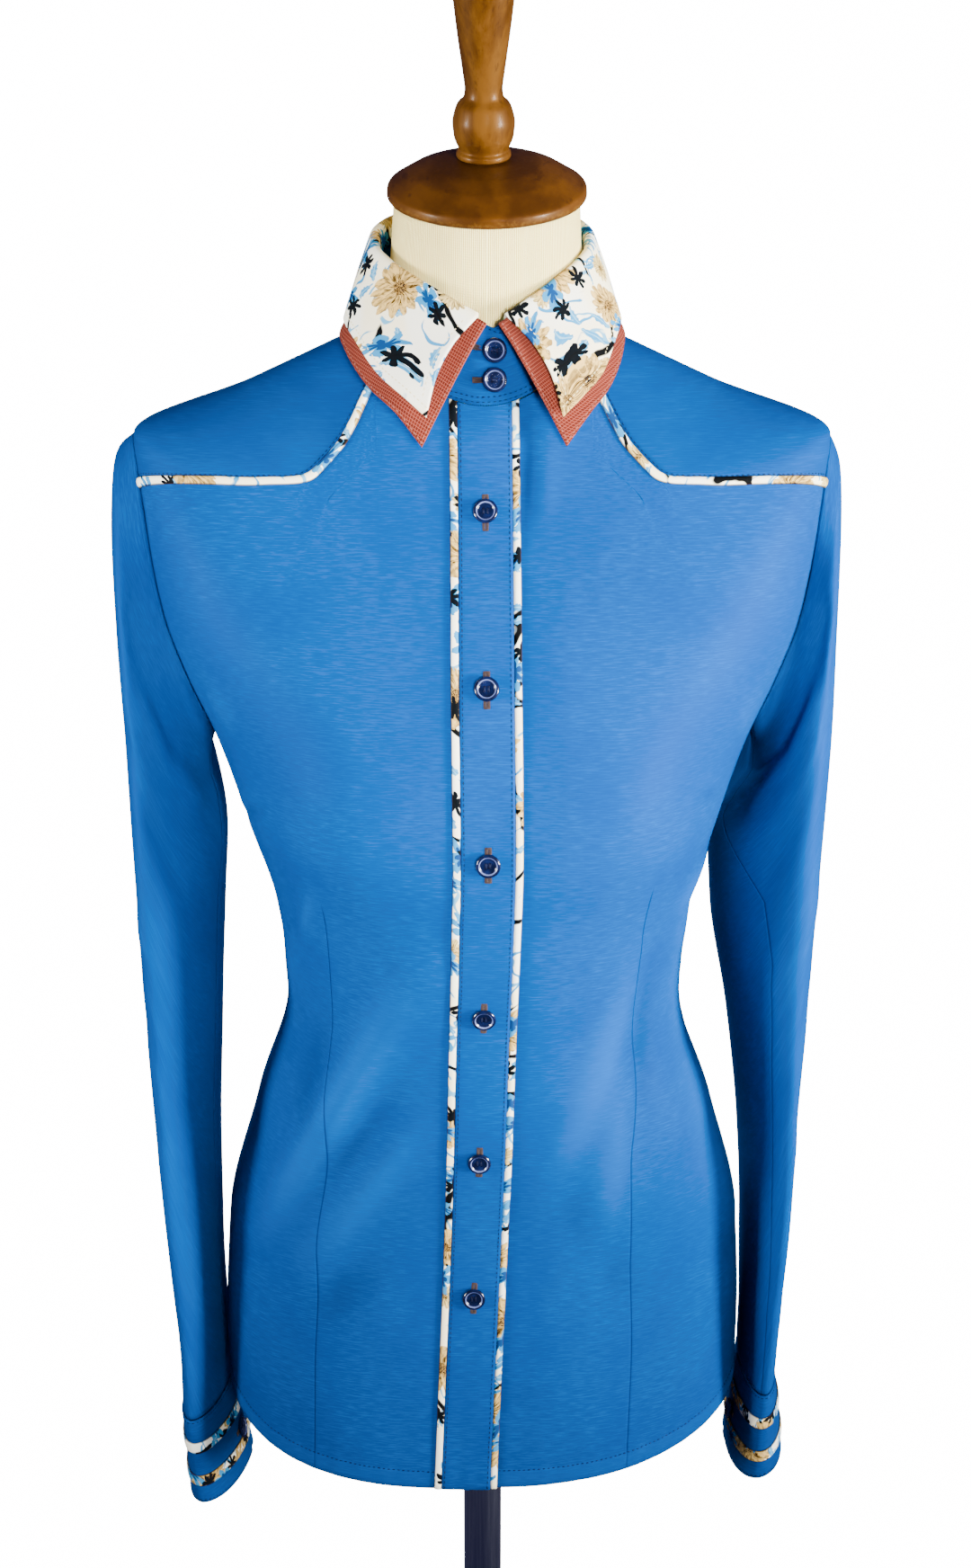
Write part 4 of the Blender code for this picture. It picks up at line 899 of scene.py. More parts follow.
class Seamstress:
    """Sews lines of stitches and buttonholes, and turns each kind of thread into one piece."""

    def __init__(self, model: Model) -> None:
        self.model = model
        self.sewn: dict[str, list[tuple[Grid, Grid]]] = {}

    def sew(self, piece: str, places: Grid, way: Grid, out: Grid, length: float, thread: float,
            height: float) -> None:
        """Add stitches to a piece of thread: their middles, then as stitch_points asks."""
        way, out = np.broadcast_to(way, places.shape), np.broadcast_to(out, places.shape)
        self.sewn.setdefault(piece, []).append(stitch_points(places, way, out, length, thread, height))

    def run(self, piece: str, line: Grid, facing: Grid, lift: float) -> None:
        """Sew a line of topstitching.

        Args:
            piece: the name of the piece of thread that it belongs to.
            line: points along the cloth's middle surface.
            facing: outward normals there.
            lift: how far the cloth's face lies outside the line.
        """
        place, direction, normal = spaced(line + facing * lift, facing, STITCH.pitch)
        self.sew(piece, place, direction, normal, STITCH.length, STITCH.thread, STITCH.height)

    def edge(self, piece: str, grid: Grid, facing: Grid, edge: str, inset: float, lift: float,
             part: slice = slice(None)) -> None:
        """Sew along one edge of a grid, a little way in from it.

        Args:
            piece: the name of the piece of thread.
            grid: the cloth's grid.
            facing: its outward normals.
            edge: first_row, last_row, first_column or last_column.
            inset: the distance in from that edge.
            lift: how far the cloth's face lies outside the grid.
            part: the stretch of the edge that is sewn.
        """
        picks = {"first_row": (grid[0], grid[1:7], facing[0]),
                 "last_row": (grid[-1], grid[-2:-8:-1], facing[-1]),
                 "first_column": (grid[:, 0], np.moveaxis(grid[:, 1:7], 1, 0), facing[:, 0]),
                 "last_column": (grid[:, -1], np.moveaxis(grid[:, -2:-8:-1], 1, 0), facing[:, -1])}
        here, inner, normal = picks[edge]
        line, left = here.copy(), np.full(len(here), inset)
        previous = here
        for following in inner:
            step = following - previous
            size = np.maximum(np.linalg.norm(step, axis=-1), TINY)
            walk = np.minimum(left, size)
            line += step * (walk / size)[:, None]
            left -= walk
            previous = following
        self.run(piece, line[part], normal[part], lift)

    def buttonhole(self, place: Grid, along: Grid, normal: Grid, size: tuple[float, float]) -> None:
        """Sew a buttonhole: two rows of satin stitches beside the cut, and a bar across each end.

        Args:
            place: its middle, on the cloth's face.
            along: its direction.
            normal: the cloth's outward normal.
            size: its length and its width.
        """
        length, width = size
        across = np.cross(normal, along)
        rungs = np.arange(-length / 2.0, length / 2.0, STITCH.satin_pitch)
        for way in (-1.0, 1.0):
            row = place + along * rungs[:, None] + across * way * width * 0.25
            self.sew("buttonholes", row, across, normal, width * 0.60, STITCH.satin_thread, 0.42)
        for way in (-1.0, 1.0):
            bar = place + along * (way * (length / 2.0 + np.array([0.0, 0.35, 0.7])))[:, None]
            self.sew("buttonholes", bar, across, normal, width * 1.10, STITCH.satin_thread, 0.5)

    def finish(self, piece: str, material: str) -> None:
        """Turn everything sewn under one name into a piece."""
        points, quads, count = [], [], 0
        for some_points, some_quads in self.sewn.pop(piece):
            points.append(some_points)
            quads.append(some_quads + count)
            count += len(some_points)
        mesh = loose_mesh(piece, np.concatenate(points), np.concatenate(quads))
        mesh.validate()
        self.model.add(mesh, material)


# ---------------------------------------------------------------------------------------------- materials

def linear(colour: str) -> tuple[float, float, float, float]:
    """The linear RGBA of an sRGB hex colour: c / 12.92 when dark, else ((c + 0.055) / 1.055) ^ 2.4."""
    parts = [int(colour[i:i + 2], 16) / 255.0 for i in (1, 3, 5)]
    return tuple(c / 12.92 if c <= 0.04045 else ((c + 0.055) / 1.055) ** 2.4 for c in parts) + (1.0,)


@dataclass(frozen=True)
class Finish:
    """The values of a material that are the same all over it."""

    roughness: float
    specular: float = 0.5
    specular_tint: str = "#ffffff"
    metallic: float = 0.0
    coat: float = 0.0
    coat_roughness: float = 0.1
    relief: float = 0.3


@dataclass(frozen=True)
class Motif:
    """One scattered motif of a printed cloth: its spacing and size in millimetres, and its colours."""

    period: float
    shift: tuple[float, float]
    size: float
    present: float
    dark: str
    light: str
    jitter: float = 0.7
    lobes: float = 5.0
    slimness: float = 1.0
    core: float = 0.0


SHIRTING_FINISH = Finish(roughness=0.50, specular=0.07, specular_tint="#1a78ff")
PRINT_FINISH = Finish(roughness=0.72, specular=0.06)
CHECK_FINISH = Finish(roughness=0.82, specular=0.05, relief=0.9)
JERSEY_FINISH = Finish(roughness=0.85, specular=0.08, relief=1.0)
WOOD_FINISH = Finish(roughness=0.46, specular=0.25, specular_tint="#ffc27a", coat=0.06,
                     coat_roughness=0.2, relief=0.12)
RESIN_FINISH = Finish(roughness=0.2, coat=0.7, coat_roughness=0.05, relief=0.02)
THREAD_FINISH = Finish(roughness=0.6, specular=0.2, relief=0.1)
STEEL_FINISH = Finish(roughness=0.32, metallic=1.0, relief=0.03)
PAPER_FINISH = Finish(roughness=0.9, specular=0.1, relief=0.05)
PAPER_GLOW = 16.0

BLOSSOM = Motif(period=38.0, shift=(11.0, 5.0), size=17.0, present=0.62, dark="#3a2202", light="#dab468",
                jitter=0.5)
SMALL_BLOSSOM = Motif(period=27.0, shift=(3.0, 21.0), size=9.0, present=0.40, dark="#4a2f06",
                      light="#e2c67c")
LEAF_CLUSTER = Motif(period=24.0, shift=(2.0, 7.0), size=13.0, present=0.50, dark="#093668",
                     light="#2881b2", lobes=7.0, slimness=1.9, core=0.52)
PALE_LEAF = Motif(period=12.0, shift=(8.0, 1.0), size=6.0, present=0.42, dark="#2881b2", light="#79b0cd")
NAVY_BUD = Motif(period=23.0, shift=(6.0, 12.0), size=6.8, present=0.50, dark="#000103", light="#00050c",
                 lobes=7.0, slimness=1.25)

# Drawn lines of the print: fineness and level of the noise that they follow, half width, colour and gaps
STEMS = ((0.070, 0.47, 0.034, "#5fa0c2", 0.50), (0.050, 0.53, 0.022, "#2881b2", 0.52),
         (0.026, 0.50, 0.026, "#000205", 0.42))

# Rings of a blossom's petals, from the outer one: reach, number of petals, and how dark the ring gets
PETAL_RINGS = ((1.0, 15.0, 0.62), (0.72, 12.0, 0.74), (0.44, 9.0, 0.92))

# Sewing threads: the yarn's own colour, and the colour of its lit twist
THREAD_COLOURS = {
    "blue_thread": ("#010a1f", "#021536"), "rust_thread": ("#6e3a30", "#8f5546"),
    "cream_thread": ("#d6c489", "#f0e3b4"), "navy_thread": ("#05081a", "#0d1738"),
    "brown_thread": ("#2a2120", "#3f322f"),
}


class Field:
    """A value or a colour that varies over a surface. Arithmetic with fields and numbers adds its nodes."""

    def __init__(self, graph: "Graph", socket: bpy.types.NodeSocket) -> None:
        self.graph = graph
        self.socket = socket

    def through(self, operation: str, *others: "Field | float") -> "Field":
        """The result of a named operation on this field and others."""
        return self.graph.node("Math", dict(enumerate((self,) + others)), operation=operation)

    def beside(self, output: int | str) -> "Field":
        """Another output of the same node."""
        return Field(self.graph, self.socket.node.outputs[output])

    def step(self, low: float, high: float) -> "Field":
        """A smooth step from nought at low to one at high, which may be the smaller."""
        return self.graph.node("MapRange", {"Value": self, "From Min": low, "From Max": high},
                               interpolation_type="SMOOTHSTEP")

    def __add__(self, other: "Field | float") -> "Field":
        """The sum."""
        return self.through("ADD", other)

    def __sub__(self, other: "Field | float") -> "Field":
        """The difference."""
        return self.through("SUBTRACT", other)

    def __mul__(self, other: "Field | float") -> "Field":
        """The product."""
        return self.through("MULTIPLY", other)

    def __truediv__(self, other: "Field | float") -> "Field":
        """The quotient."""
        return self.through("DIVIDE", other)

    def __abs__(self) -> "Field":
        """The size without its sign."""
        return self.through("ABSOLUTE")


class Graph:
    """A material's node tree around one Principled shader."""

    def __init__(self, name: str, finish: Finish) -> None:
        self.material = bpy.data.materials.new(name)
        self.material.use_nodes = True
        self.tree = self.material.node_tree
        self.tree.nodes.clear()
        self.finish = finish
        surface = self.node("BsdfPrincipled", {
            "Roughness": finish.roughness, "Metallic": finish.metallic,
            "Specular IOR Level": finish.specular, "Specular Tint": linear(finish.specular_tint),
            "Coat Weight": finish.coat, "Coat Roughness": finish.coat_roughness})
        self.shader = surface.socket.node
        self.node("OutputMaterial", {"Surface": surface}, out=None)

    def node(self, kind: str, inputs: dict | None = None, out: int | str | None = 0,
             **settings) -> Field | None:
        """Add a node with its settings, and give its inputs values or links.

        Args:
            kind: the node's type, without its Shader prefix.
            inputs: sockets by name or number, each a value or a field.
            out: the output that is wanted, by name or number, or nothing for a node without one.
            settings: the node's own settings by name.

        Returns:
            That output.
        """
        node = self.tree.nodes.new("ShaderNode" + kind)
        for key, value in settings.items():
            setattr(node, key, value)
        for key, value in (inputs or {}).items():
            if isinstance(value, Field):
                self.tree.links.new(value.socket, node.inputs[key])
            else:
                node.inputs[key].default_value = value
        return None if out is None else Field(self, node.outputs[out])

    def mixed(self, under: Field | str, over: Field | str, share: Field | float) -> Field:
        """One colour laid over another by a share; either may be a hex colour."""
        under, over = (linear(tone) if isinstance(tone, str) else tone for tone in (under, over))
        return self.node("Mix", {0: share, 6: under, 7: over}, out=2, data_type="RGBA")

    def cloth(self, wide: float = 1.0, long: float = 1.0) -> Field:
        """The cloth's own coordinates, counted in steps of so many millimetres."""
        place = self.node("UVMap", uv_map="cloth")
        return self.node("Mapping", {"Vector": place, "Scale": (1.0 / MM / wide, 1.0 / MM / long, 1.0)})

    def yarns(self, wide: float, long: float, detail: float = 2.0, roughness: float = 0.5) -> Field:
        """Unevenness of the yarns, in patches of about so many millimetres on the cloth."""
        return self.node("TexNoise", {"Vector": self.cloth(wide, long), "Scale": 1.0, "Detail": detail,
                                      "Roughness": roughness})

    def finish_with(self, colour: Field, height: Field, distance: float,
                    roughness: Field | None = None) -> bpy.types.Material:
        """Link the colour, the relief and the roughness to the shader."""
        bump = self.node("Bump", {"Strength": self.finish.relief, "Distance": distance, "Height": height})
        for name, value in (("Base Color", colour), ("Normal", bump), ("Roughness", roughness)):
            if value is not None:
                self.tree.links.new(value.socket, self.shader.inputs[name])
        return self.material


class Mill:
    """Weaves, prints, knits and stains every material."""

    def shirting(self, name: str, body: str, streak: str, shade: str) -> bpy.types.Material:
        """Satin-faced cotton shirting, dyed in the piece: fine slubs run across the cloth.

        The colour moves from body towards streak along thin level slubs, and towards shade in wide soft
        clouds. A fold mark, the height of a crease in millimetres, gives its ridge a painted highlight and
        its trough painted shade. A seam mark draws a line of painted shade, the shade of the seam's groove,
        where its distance is within half a millimetre.
        """
        g = Graph(name, SHIRTING_FINISH)
        fold, seam, seam_share, turned_hem = (
            g.node("Attribute", out="Fac", attribute_name=mark)
            for mark in ("fold", "seam", "seam_share", "hem"))
        slub = g.yarns(9.0, 0.6, 3.0, 0.6)
        colour = g.mixed(body, streak, slub.step(0.42, 0.74))
        colour = g.mixed(colour, streak, g.yarns(24.0, 1.1, 2.0, 0.55).step(0.56, 0.72) * 0.7)
        colour = g.mixed(colour, shade, g.yarns(60.0, 60.0).step(0.42, 0.64) * 0.35)
        # Painted highlight on the ridges of creases and painted shade in their troughs, from the fold mark.
        colour = g.mixed(colour, "#0d5099", fold.step(-0.4, 5.0) * 0.50)
        colour = g.mixed(colour, "#01214b", fold.step(0.2, -2.8) * 0.55)
        # Painted shade: a dark line along the groove of each seam.
        colour = g.mixed(colour, "#01183f", abs(seam).step(0.62, 0.18) * seam_share * 0.75)
        colour = g.mixed(colour, streak, turned_hem.step(0.4, 0.6) * 0.30)
        dip = (abs(seam).step(0.0, 1.6) - 1.0) * seam_share
        height = slub * 0.35 + g.yarns(0.5, 0.5, 1.0) * 0.22 + dip * 2.4
        rough = slub * 0.16 + (SHIRTING_FINISH.roughness - 0.08)
        return g.finish_with(colour, height, 0.0003, rough)

    def scattered(self, g: Graph, place: Field, motif: Motif) -> tuple[Field, Field, Field, Field, Field]:
        """A motif's own coordinates around the nearest of many jittered points.

        Returns:
            x and y in millimetres from that point, then three random values that each point keeps.
        """
        moved = g.node("VectorMath", {0: place, 1: motif.shift + (0.0,)}, operation="ADD")
        scaled = g.node("VectorMath", {0: moved, "Scale": 1.0 / motif.period}, operation="SCALE")
        cell = g.node("TexVoronoi", {"Vector": scaled, "Scale": 1.0, "Randomness": motif.jitter},
                      out="Color", voronoi_dimensions="2D", feature="F1")
        local = g.node("VectorMath", {0: scaled, 1: cell.beside("Position")}, operation="SUBTRACT")
        local = g.node("VectorMath", {0: local, "Scale": motif.period}, operation="SCALE")
        x, random = g.node("SeparateXYZ", {0: local}), g.node("SeparateColor", {0: cell})
        return x, x.beside(1), random, random.beside(1), random.beside(2)

    def turned(self, g: Graph, place: Field, motif: Motif) -> tuple[Field, Field, Field, Field]:
        """A scattered motif's coordinates along and across its own direction, its chance and its tone."""
        x, y, turn, chance, tone = self.scattered(g, place, motif)
        angle = turn * (2.0 * math.pi)
        cosine, sine = angle.through("COSINE"), angle.through("SINE")
        return x * cosine + y * sine, y * cosine - x * sine, chance, tone

    def leaves(self, g: Graph, place: Field, under: Field, motif: Motif) -> Field:
        """Pointed leaves over the colours beneath: half the width is w (1 - (x / L)^2) at x along the leaf.

        Each leaf has its own direction, a wavy edge and a paler vein.
        """
        along, across, chance, tone = self.turned(g, place, motif)
        across = abs(across - along * along * 0.045)
        share = along / motif.size
        half = (share * share * -1.0 + 1.0) * (motif.size * 0.34) + (along * 2.6).through("SINE") * 0.30
        shown = (half - across).step(-0.05, 0.12) * chance.through("LESS_THAN", motif.present)
        stroke = g.node("TexNoise", {"Vector": place, "Scale": 0.55}).step(0.40, 0.62)
        light = (stroke * tone).through("MAXIMUM", across.step(0.42, 0.16))
        return g.mixed(under, g.mixed(motif.dark, motif.light, light), shown)

    def lobed(self, g: Graph, place: Field, under: Field, motif: Motif) -> Field:
        """Lobed leaves or spiky buds: the radius is size (0.40 + 0.60 |sin(n a / 2)|) at angle a.

        The shape is drawn out along its own direction by its slimness, its edge wavers, and a darker core
        and one dark vein fill its middle.
        """
        along, across, chance, tone = self.turned(g, place, motif)
        wide = across * motif.slimness
        radius = (along * along + wide * wide).through("SQRT")
        lobes = abs((wide.through("ARCTAN2", along) * (motif.lobes / 2.0)).through("SINE"))
        waver = (g.node("TexNoise", {"Vector": place, "Scale": 0.5}) - 0.5) * (motif.size * 0.45)
        reach = (lobes * 0.60 + 0.40) * motif.size + waver
        shown = (reach - radius).step(-0.05, 0.15) * chance.through("LESS_THAN", motif.present)
        core = (reach * motif.core - radius).step(-0.1, 0.2)
        darkness = core.through("MAXIMUM", abs(across).step(0.55, 0.25) * tone)
        return g.mixed(under, g.mixed(motif.light, motif.dark, darkness), shown)

    def blossoms(self, g: Graph, place: Field, under: Field, motif: Motif) -> Field:
        """Many-petalled blossoms in three rings of petals, from the outer ring to the inner.

        A ring of n petals reaches t (1 - 0.26 s^2), where s runs from nought on a petal's middle to one
        between two petals, and its colour darkens with s and along thin strokes out of the middle.
        """
        x, y, turn, chance, tone = self.scattered(g, place, motif)
        radius = (x * x + y * y).through("SQRT")
        angle = y.through("ARCTAN2", x) + turn * 6.0
        wobble = (g.node("TexNoise", {"Vector": place, "Scale": 0.32}) - 0.5) * 2.4
        spokes = g.node("CombineXYZ", {0: angle * 7.0, 1: radius * 0.22})
        strokes = g.node("TexNoise", {"Vector": spokes, "Scale": 1.0, "Roughness": 0.6}).step(0.44, 0.60)
        size = (tone * 0.25 + 0.80) * motif.size
        chosen = chance.through("LESS_THAN", motif.present)
        for share, petals, deep in PETAL_RINGS:
            ring = angle * (petals / (2.0 * math.pi)) + share * 4.7 + wobble * 0.16
            between = abs(ring.through("FRACT") - 0.5) * 2.0
            between = between * between
            tip = size * (between * (-0.26 * share) + share) + wobble * 0.5
            darkness = ((between * 0.55 + strokes * 0.90) * deep).through("MINIMUM", 1.0)
            shown = (tip - radius).step(-0.05, 0.15) * chosen
            under = g.mixed(under, g.mixed(motif.light, motif.dark, darkness), shown)
        speckle = g.node("TexVoronoi", {"Vector": place, "Scale": 0.95, "Randomness": 0.9},
                         out="Distance", voronoi_dimensions="2D")
        middle = (radius / size).step(0.25, 0.20) * chosen
        under = g.mixed(under, "#7e5822", middle * 0.6)
        return g.mixed(under, "#100f14", middle * speckle.step(0.42, 0.30))

    def lines(self, g: Graph, place: Field, under: Field, scale: float, level: float, width: float,
              colour: str, gaps: float) -> Field:
        """Thin drawn lines along one level of a noise, left out where a second noise is low."""
        value = g.node("TexNoise", {"Vector": place, "Scale": scale, "Detail": 0.0})
        elsewhere = g.node("VectorMath", {0: place, 1: (37.0, 11.0, 3.0)}, operation="ADD")
        shown = g.node("TexNoise", {"Vector": elsewhere, "Scale": scale * 0.8, "Detail": 1.0})
        line = abs(value - level).step(width, width * 0.6) * shown.step(gaps, gaps + 0.02)
        return g.mixed(under, colour, line)

    def print(self, name: str, shift: tuple[float, float], turn: float) -> bpy.types.Material:
        """Floral print on off-white cotton: stems and outlines, then leaves, buds and blossoms over them."""
        g = Graph(name, PRINT_FINISH)
        place = g.node("Mapping", {"Vector": g.cloth(), "Location": shift + (0.0,),
                                   "Rotation": (0.0, 0.0, turn)})
        bend = g.node("TexNoise", {"Vector": place, "Scale": 0.09, "Detail": 1.0}, out=1,
                      noise_dimensions="2D")
        bend = g.node("VectorMath", {0: bend, "Scale": 4.0}, operation="SCALE")
        place = g.node("VectorMath", {0: place, 1: bend}, operation="ADD")
        ground = g.node("TexNoise", {"Vector": place, "Scale": 0.03, "Detail": 1.0})
        colour = g.mixed("#fff3cc", "#fbf8e4", ground.step(0.4, 0.6))
        for stem in STEMS:
            colour = self.lines(g, place, colour, *stem)
        for draw, motif in ((self.leaves, PALE_LEAF), (self.blossoms, SMALL_BLOSSOM),
                            (self.blossoms, BLOSSOM), (self.lobed, LEAF_CLUSTER), (self.lobed, NAVY_BUD)):
            colour = draw(g, place, colour, motif)
        weave = g.yarns(0.45, 0.45, 1.0)
        rim = g.node("Attribute", out="Fac", attribute_name="rim")
        colour = g.mixed(colour, "#4a4226", weave * 0.05)
        # Painted shade: a dark line along the tape's two seam edges, where the rim mark is one.
        colour = g.mixed(colour, "#33211b", rim.step(0.30, 0.75) * 0.8)
        return g.finish_with(colour, weave, 0.0002)

    def check(self, name: str) -> bpy.types.Material:
        """Small basket check of rust yarns, 1.6 by 1.75 mm, with a paler thread between the cells."""
        g = Graph(name, CHECK_FINISH)
        u = g.node("SeparateXYZ", {0: g.cloth(1.60, 1.75)})
        v = u.beside(1)
        wave_u, wave_v = (abs(way.through("FRACT") - 0.5) for way in (u, v))
        pale = wave_u.step(0.36, 0.46).through("MAXIMUM", wave_v.step(0.36, 0.46))
        yarn = g.yarns(0.5, 0.5)
        colour = g.mixed("#5b2217", "#431810", (v.through("FLOOR") * 0.5).through("FRACT") * 0.9)
        colour = g.mixed(colour, "#34120c", yarn.step(0.4, 0.7) * 0.3)
        colour = g.mixed(colour, "#9a4f40", pale * 0.72)
        cushion = (wave_u * -1.0 + 0.5) * (wave_v * -1.0 + 0.5)
        return g.finish_with(colour, cushion * 3.0 + yarn * 0.25, 0.0003)

    def jersey(self, name: str) -> bpy.types.Material:
        """Cream cotton jersey, knitted in fine upright ribs 1.15 mm apart, with painted highlight on the
        ribs' crests and painted shade between them.
        """
        g = Graph(name, JERSEY_FINISH)
        u = g.node("SeparateXYZ", {0: g.cloth(1.15, 1.3)})
        rib, course = ((way * (2.0 * math.pi)).through("SINE") for way in (u, u.beside(1)))
        # Painted highlight on the ribs' crests and painted shade in their valleys, following the rib relief.
        colour = g.mixed("#deba62", "#fff5aa", rib.step(-0.9, 0.9))
        colour = g.mixed(colour, "#f6e49c", g.yarns(3.0, 14.0, 3.0).step(0.45, 0.7) * 0.35)
        return g.finish_with(colour, rib * 0.5 + course * 0.12, 0.0003)

    def wood(self, name: str, dark: str, mid: str, worn: str, along: tuple[float, float, float],
             rim: tuple[float, float] | None) -> bpy.types.Material:
        """Turned hardwood, stained brown under satin varnish, rubbed paler on its proud edges.

        The grain is a noise drawn out along the wood's own direction. Wear follows the radius mark where
        a rim is given, broken up by scratches.
        """
        g = Graph(name, WOOD_FINISH)
        place = g.node("TexCoord", out="Object")
        stretched = g.node("Mapping", {"Vector": place, "Scale": along})
        grain = g.node("TexNoise", {"Vector": stretched, "Scale": 1.0, "Detail": 5.0, "Roughness": 0.62})
        close = g.node("VectorMath", {0: stretched, "Scale": 3.7}, operation="SCALE")
        fine = g.node("TexNoise", {"Vector": close, "Scale": 1.0, "Detail": 4.0, "Roughness": 0.6})
        pores = fine.step(0.60, 0.68)
        colour = g.mixed(dark, mid, grain.step(0.34, 0.66))
        colour = g.mixed(colour, "#241004", pores * 0.45)
        closer = g.node("VectorMath", {0: place, "Scale": 420.0}, operation="SCALE")
        scratches = g.node("TexNoise", {"Vector": closer, "Scale": 1.0, "Detail": 3.0, "Roughness": 0.7})
        wear = scratches.step(0.60, 0.74) * 0.12
        if rim is not None:
            band = g.node("Attribute", out="Fac", attribute_name="radius").step(rim[0], rim[1])
            broken = band + (scratches - 0.5) * 0.9
            wear = wear.through("MAXIMUM", broken.step(0.42, 0.72) * band)
        colour = g.mixed(colour, worn, wear)
        rough = scratches * 0.25 + (WOOD_FINISH.roughness - 0.12)
        return g.finish_with(colour, grain * 0.5 - pores * 0.6, 0.0003, rough)

    def resin(self, name: str) -> bpy.types.Material:
        """Cast polyester button resin, navy, with a painted highlight: a pale line along the crest of its
        rim.
        """
        g = Graph(name, RESIN_FINISH)
        place = g.node("TexCoord", out="Object")
        swirl = g.node("TexNoise", {"Vector": place, "Scale": 260.0, "Detail": 3.0})
        painted_rim_highlight = g.node("Attribute", out="Fac", attribute_name="painted_rim_highlight")
        colour = g.mixed("#060a20", "#0c1538", swirl.step(0.35, 0.7))
        # Painted highlight: a pale line along the crest of the rim.
        return g.finish_with(g.mixed(colour, "#8290c8", painted_rim_highlight * 0.60), swirl, 0.00005)

    def thread(self, name: str, body: str, light: str) -> bpy.types.Material:
        """Spun polyester sewing thread, with a faint twist along it."""
        g = Graph(name, THREAD_FINISH)
        twist = g.node("TexNoise", {"Vector": g.node("TexCoord", out="Object"), "Scale": 1900.0})
        return g.finish_with(g.mixed(body, light, twist), twist, 0.00005)

    def steel(self, name: str) -> bpy.types.Material:
        """Drawn steel tube, brushed along its length."""
        g = Graph(name, STEEL_FINISH)
        place = g.node("Mapping", {"Vector": g.node("TexCoord", out="Object"), "Scale": (900.0, 900.0, 14.0)})
        brushed = g.node("TexNoise", {"Vector": place, "Scale": 1.0, "Detail": 3.0})
        rough = brushed * 0.2 + (STEEL_FINISH.roughness - 0.1)
        return g.finish_with(g.mixed("#8f9194", "#b9bbbd", brushed), brushed, 0.00005, rough)

    def paper(self, name: str) -> bpy.types.Material:
        """Matt white background paper, lit from behind as well, with the faintest mottle."""
        g = Graph(name, PAPER_FINISH)
        g.shader.inputs["Emission Color"].default_value = linear("#ffffff")
        g.shader.inputs["Emission Strength"].default_value = PAPER_GLOW
        mottle = g.node("TexNoise", {"Vector": g.node("TexCoord", out="Object"), "Scale": 3.0})
        return g.finish_with(g.mixed("#f3f3f1", "#f8f8f7", mottle), mottle, 0.0005)

    def weave_all(self) -> dict[str, bpy.types.Material]:
        """Every material of the model, by name."""
        made = [
            self.shirting("satin_shirting", "#01356f", "#024486", "#012e69"),
            # A darker copy of the same shirting: painted shade for the yokes and the collar stand.
            self.shirting("satin_shirting_yoke", "#01336b", "#023f7e", "#012c64"),
            self.print("floral_collar", (14.0, 8.0), 0.35),
            self.print("floral_tape", (61.0, 27.0), 1.10),
            self.check("basket_check"),
            self.jersey("ribbed_jersey"),
            self.wood("turned_cap_wood", "#331b06", "#4a2b0b", "#634419", (38.0, 7.0, 38.0),
                      (0.0545, 0.0560)),
            self.wood("turned_finial_wood", "#3b2005", "#57360f", "#6d4e22", (90.0, 90.0, 9.0), None),
            self.wood("turned_base_wood", "#3a1f08", "#59350f", "#70501f", (22.0, 5.0, 22.0),
                      (0.186, 0.1895)),
            self.resin("navy_resin"),
            self.steel("satin_steel"),
            self.paper("background_paper"),
        ]
        made += [self.thread(name, *colours) for name, colours in THREAD_COLOURS.items()]
        return {material.name: material for material in made}


# --------------------------------------------------------------------------------------------- body panels

PANEL_LINES = (YOKE_ARM_DOWN,) + ARM_LINES + SIDE_LINES
PIPING_LINE = 1
INNER_COLUMNS = 5
FIRST_YOKE_COLUMN = INNER_COLUMNS + len(FRONT_TOP_NECK)
BAND_COUNTS = (8, 4, 8, 6)
PIPING_COUNT = 6

# How far from a seam its mark still tells the distance
SEAM_REACH = 12.0


def inner_lines() -> Grid:
    """How far down the front each grid line crosses the placket."""
    follow = np.array(TOP_FOLLOW + (0.0,) * (len(PANEL_LINES) - len(TOP_FOLLOW)))
    lines = np.array(PANEL_LINES) + follow * (PLACKET.piping + CLOTH.seam_gap - PANEL_LINES[PIPING_LINE])
    lines[0] = 0.0
    return lines


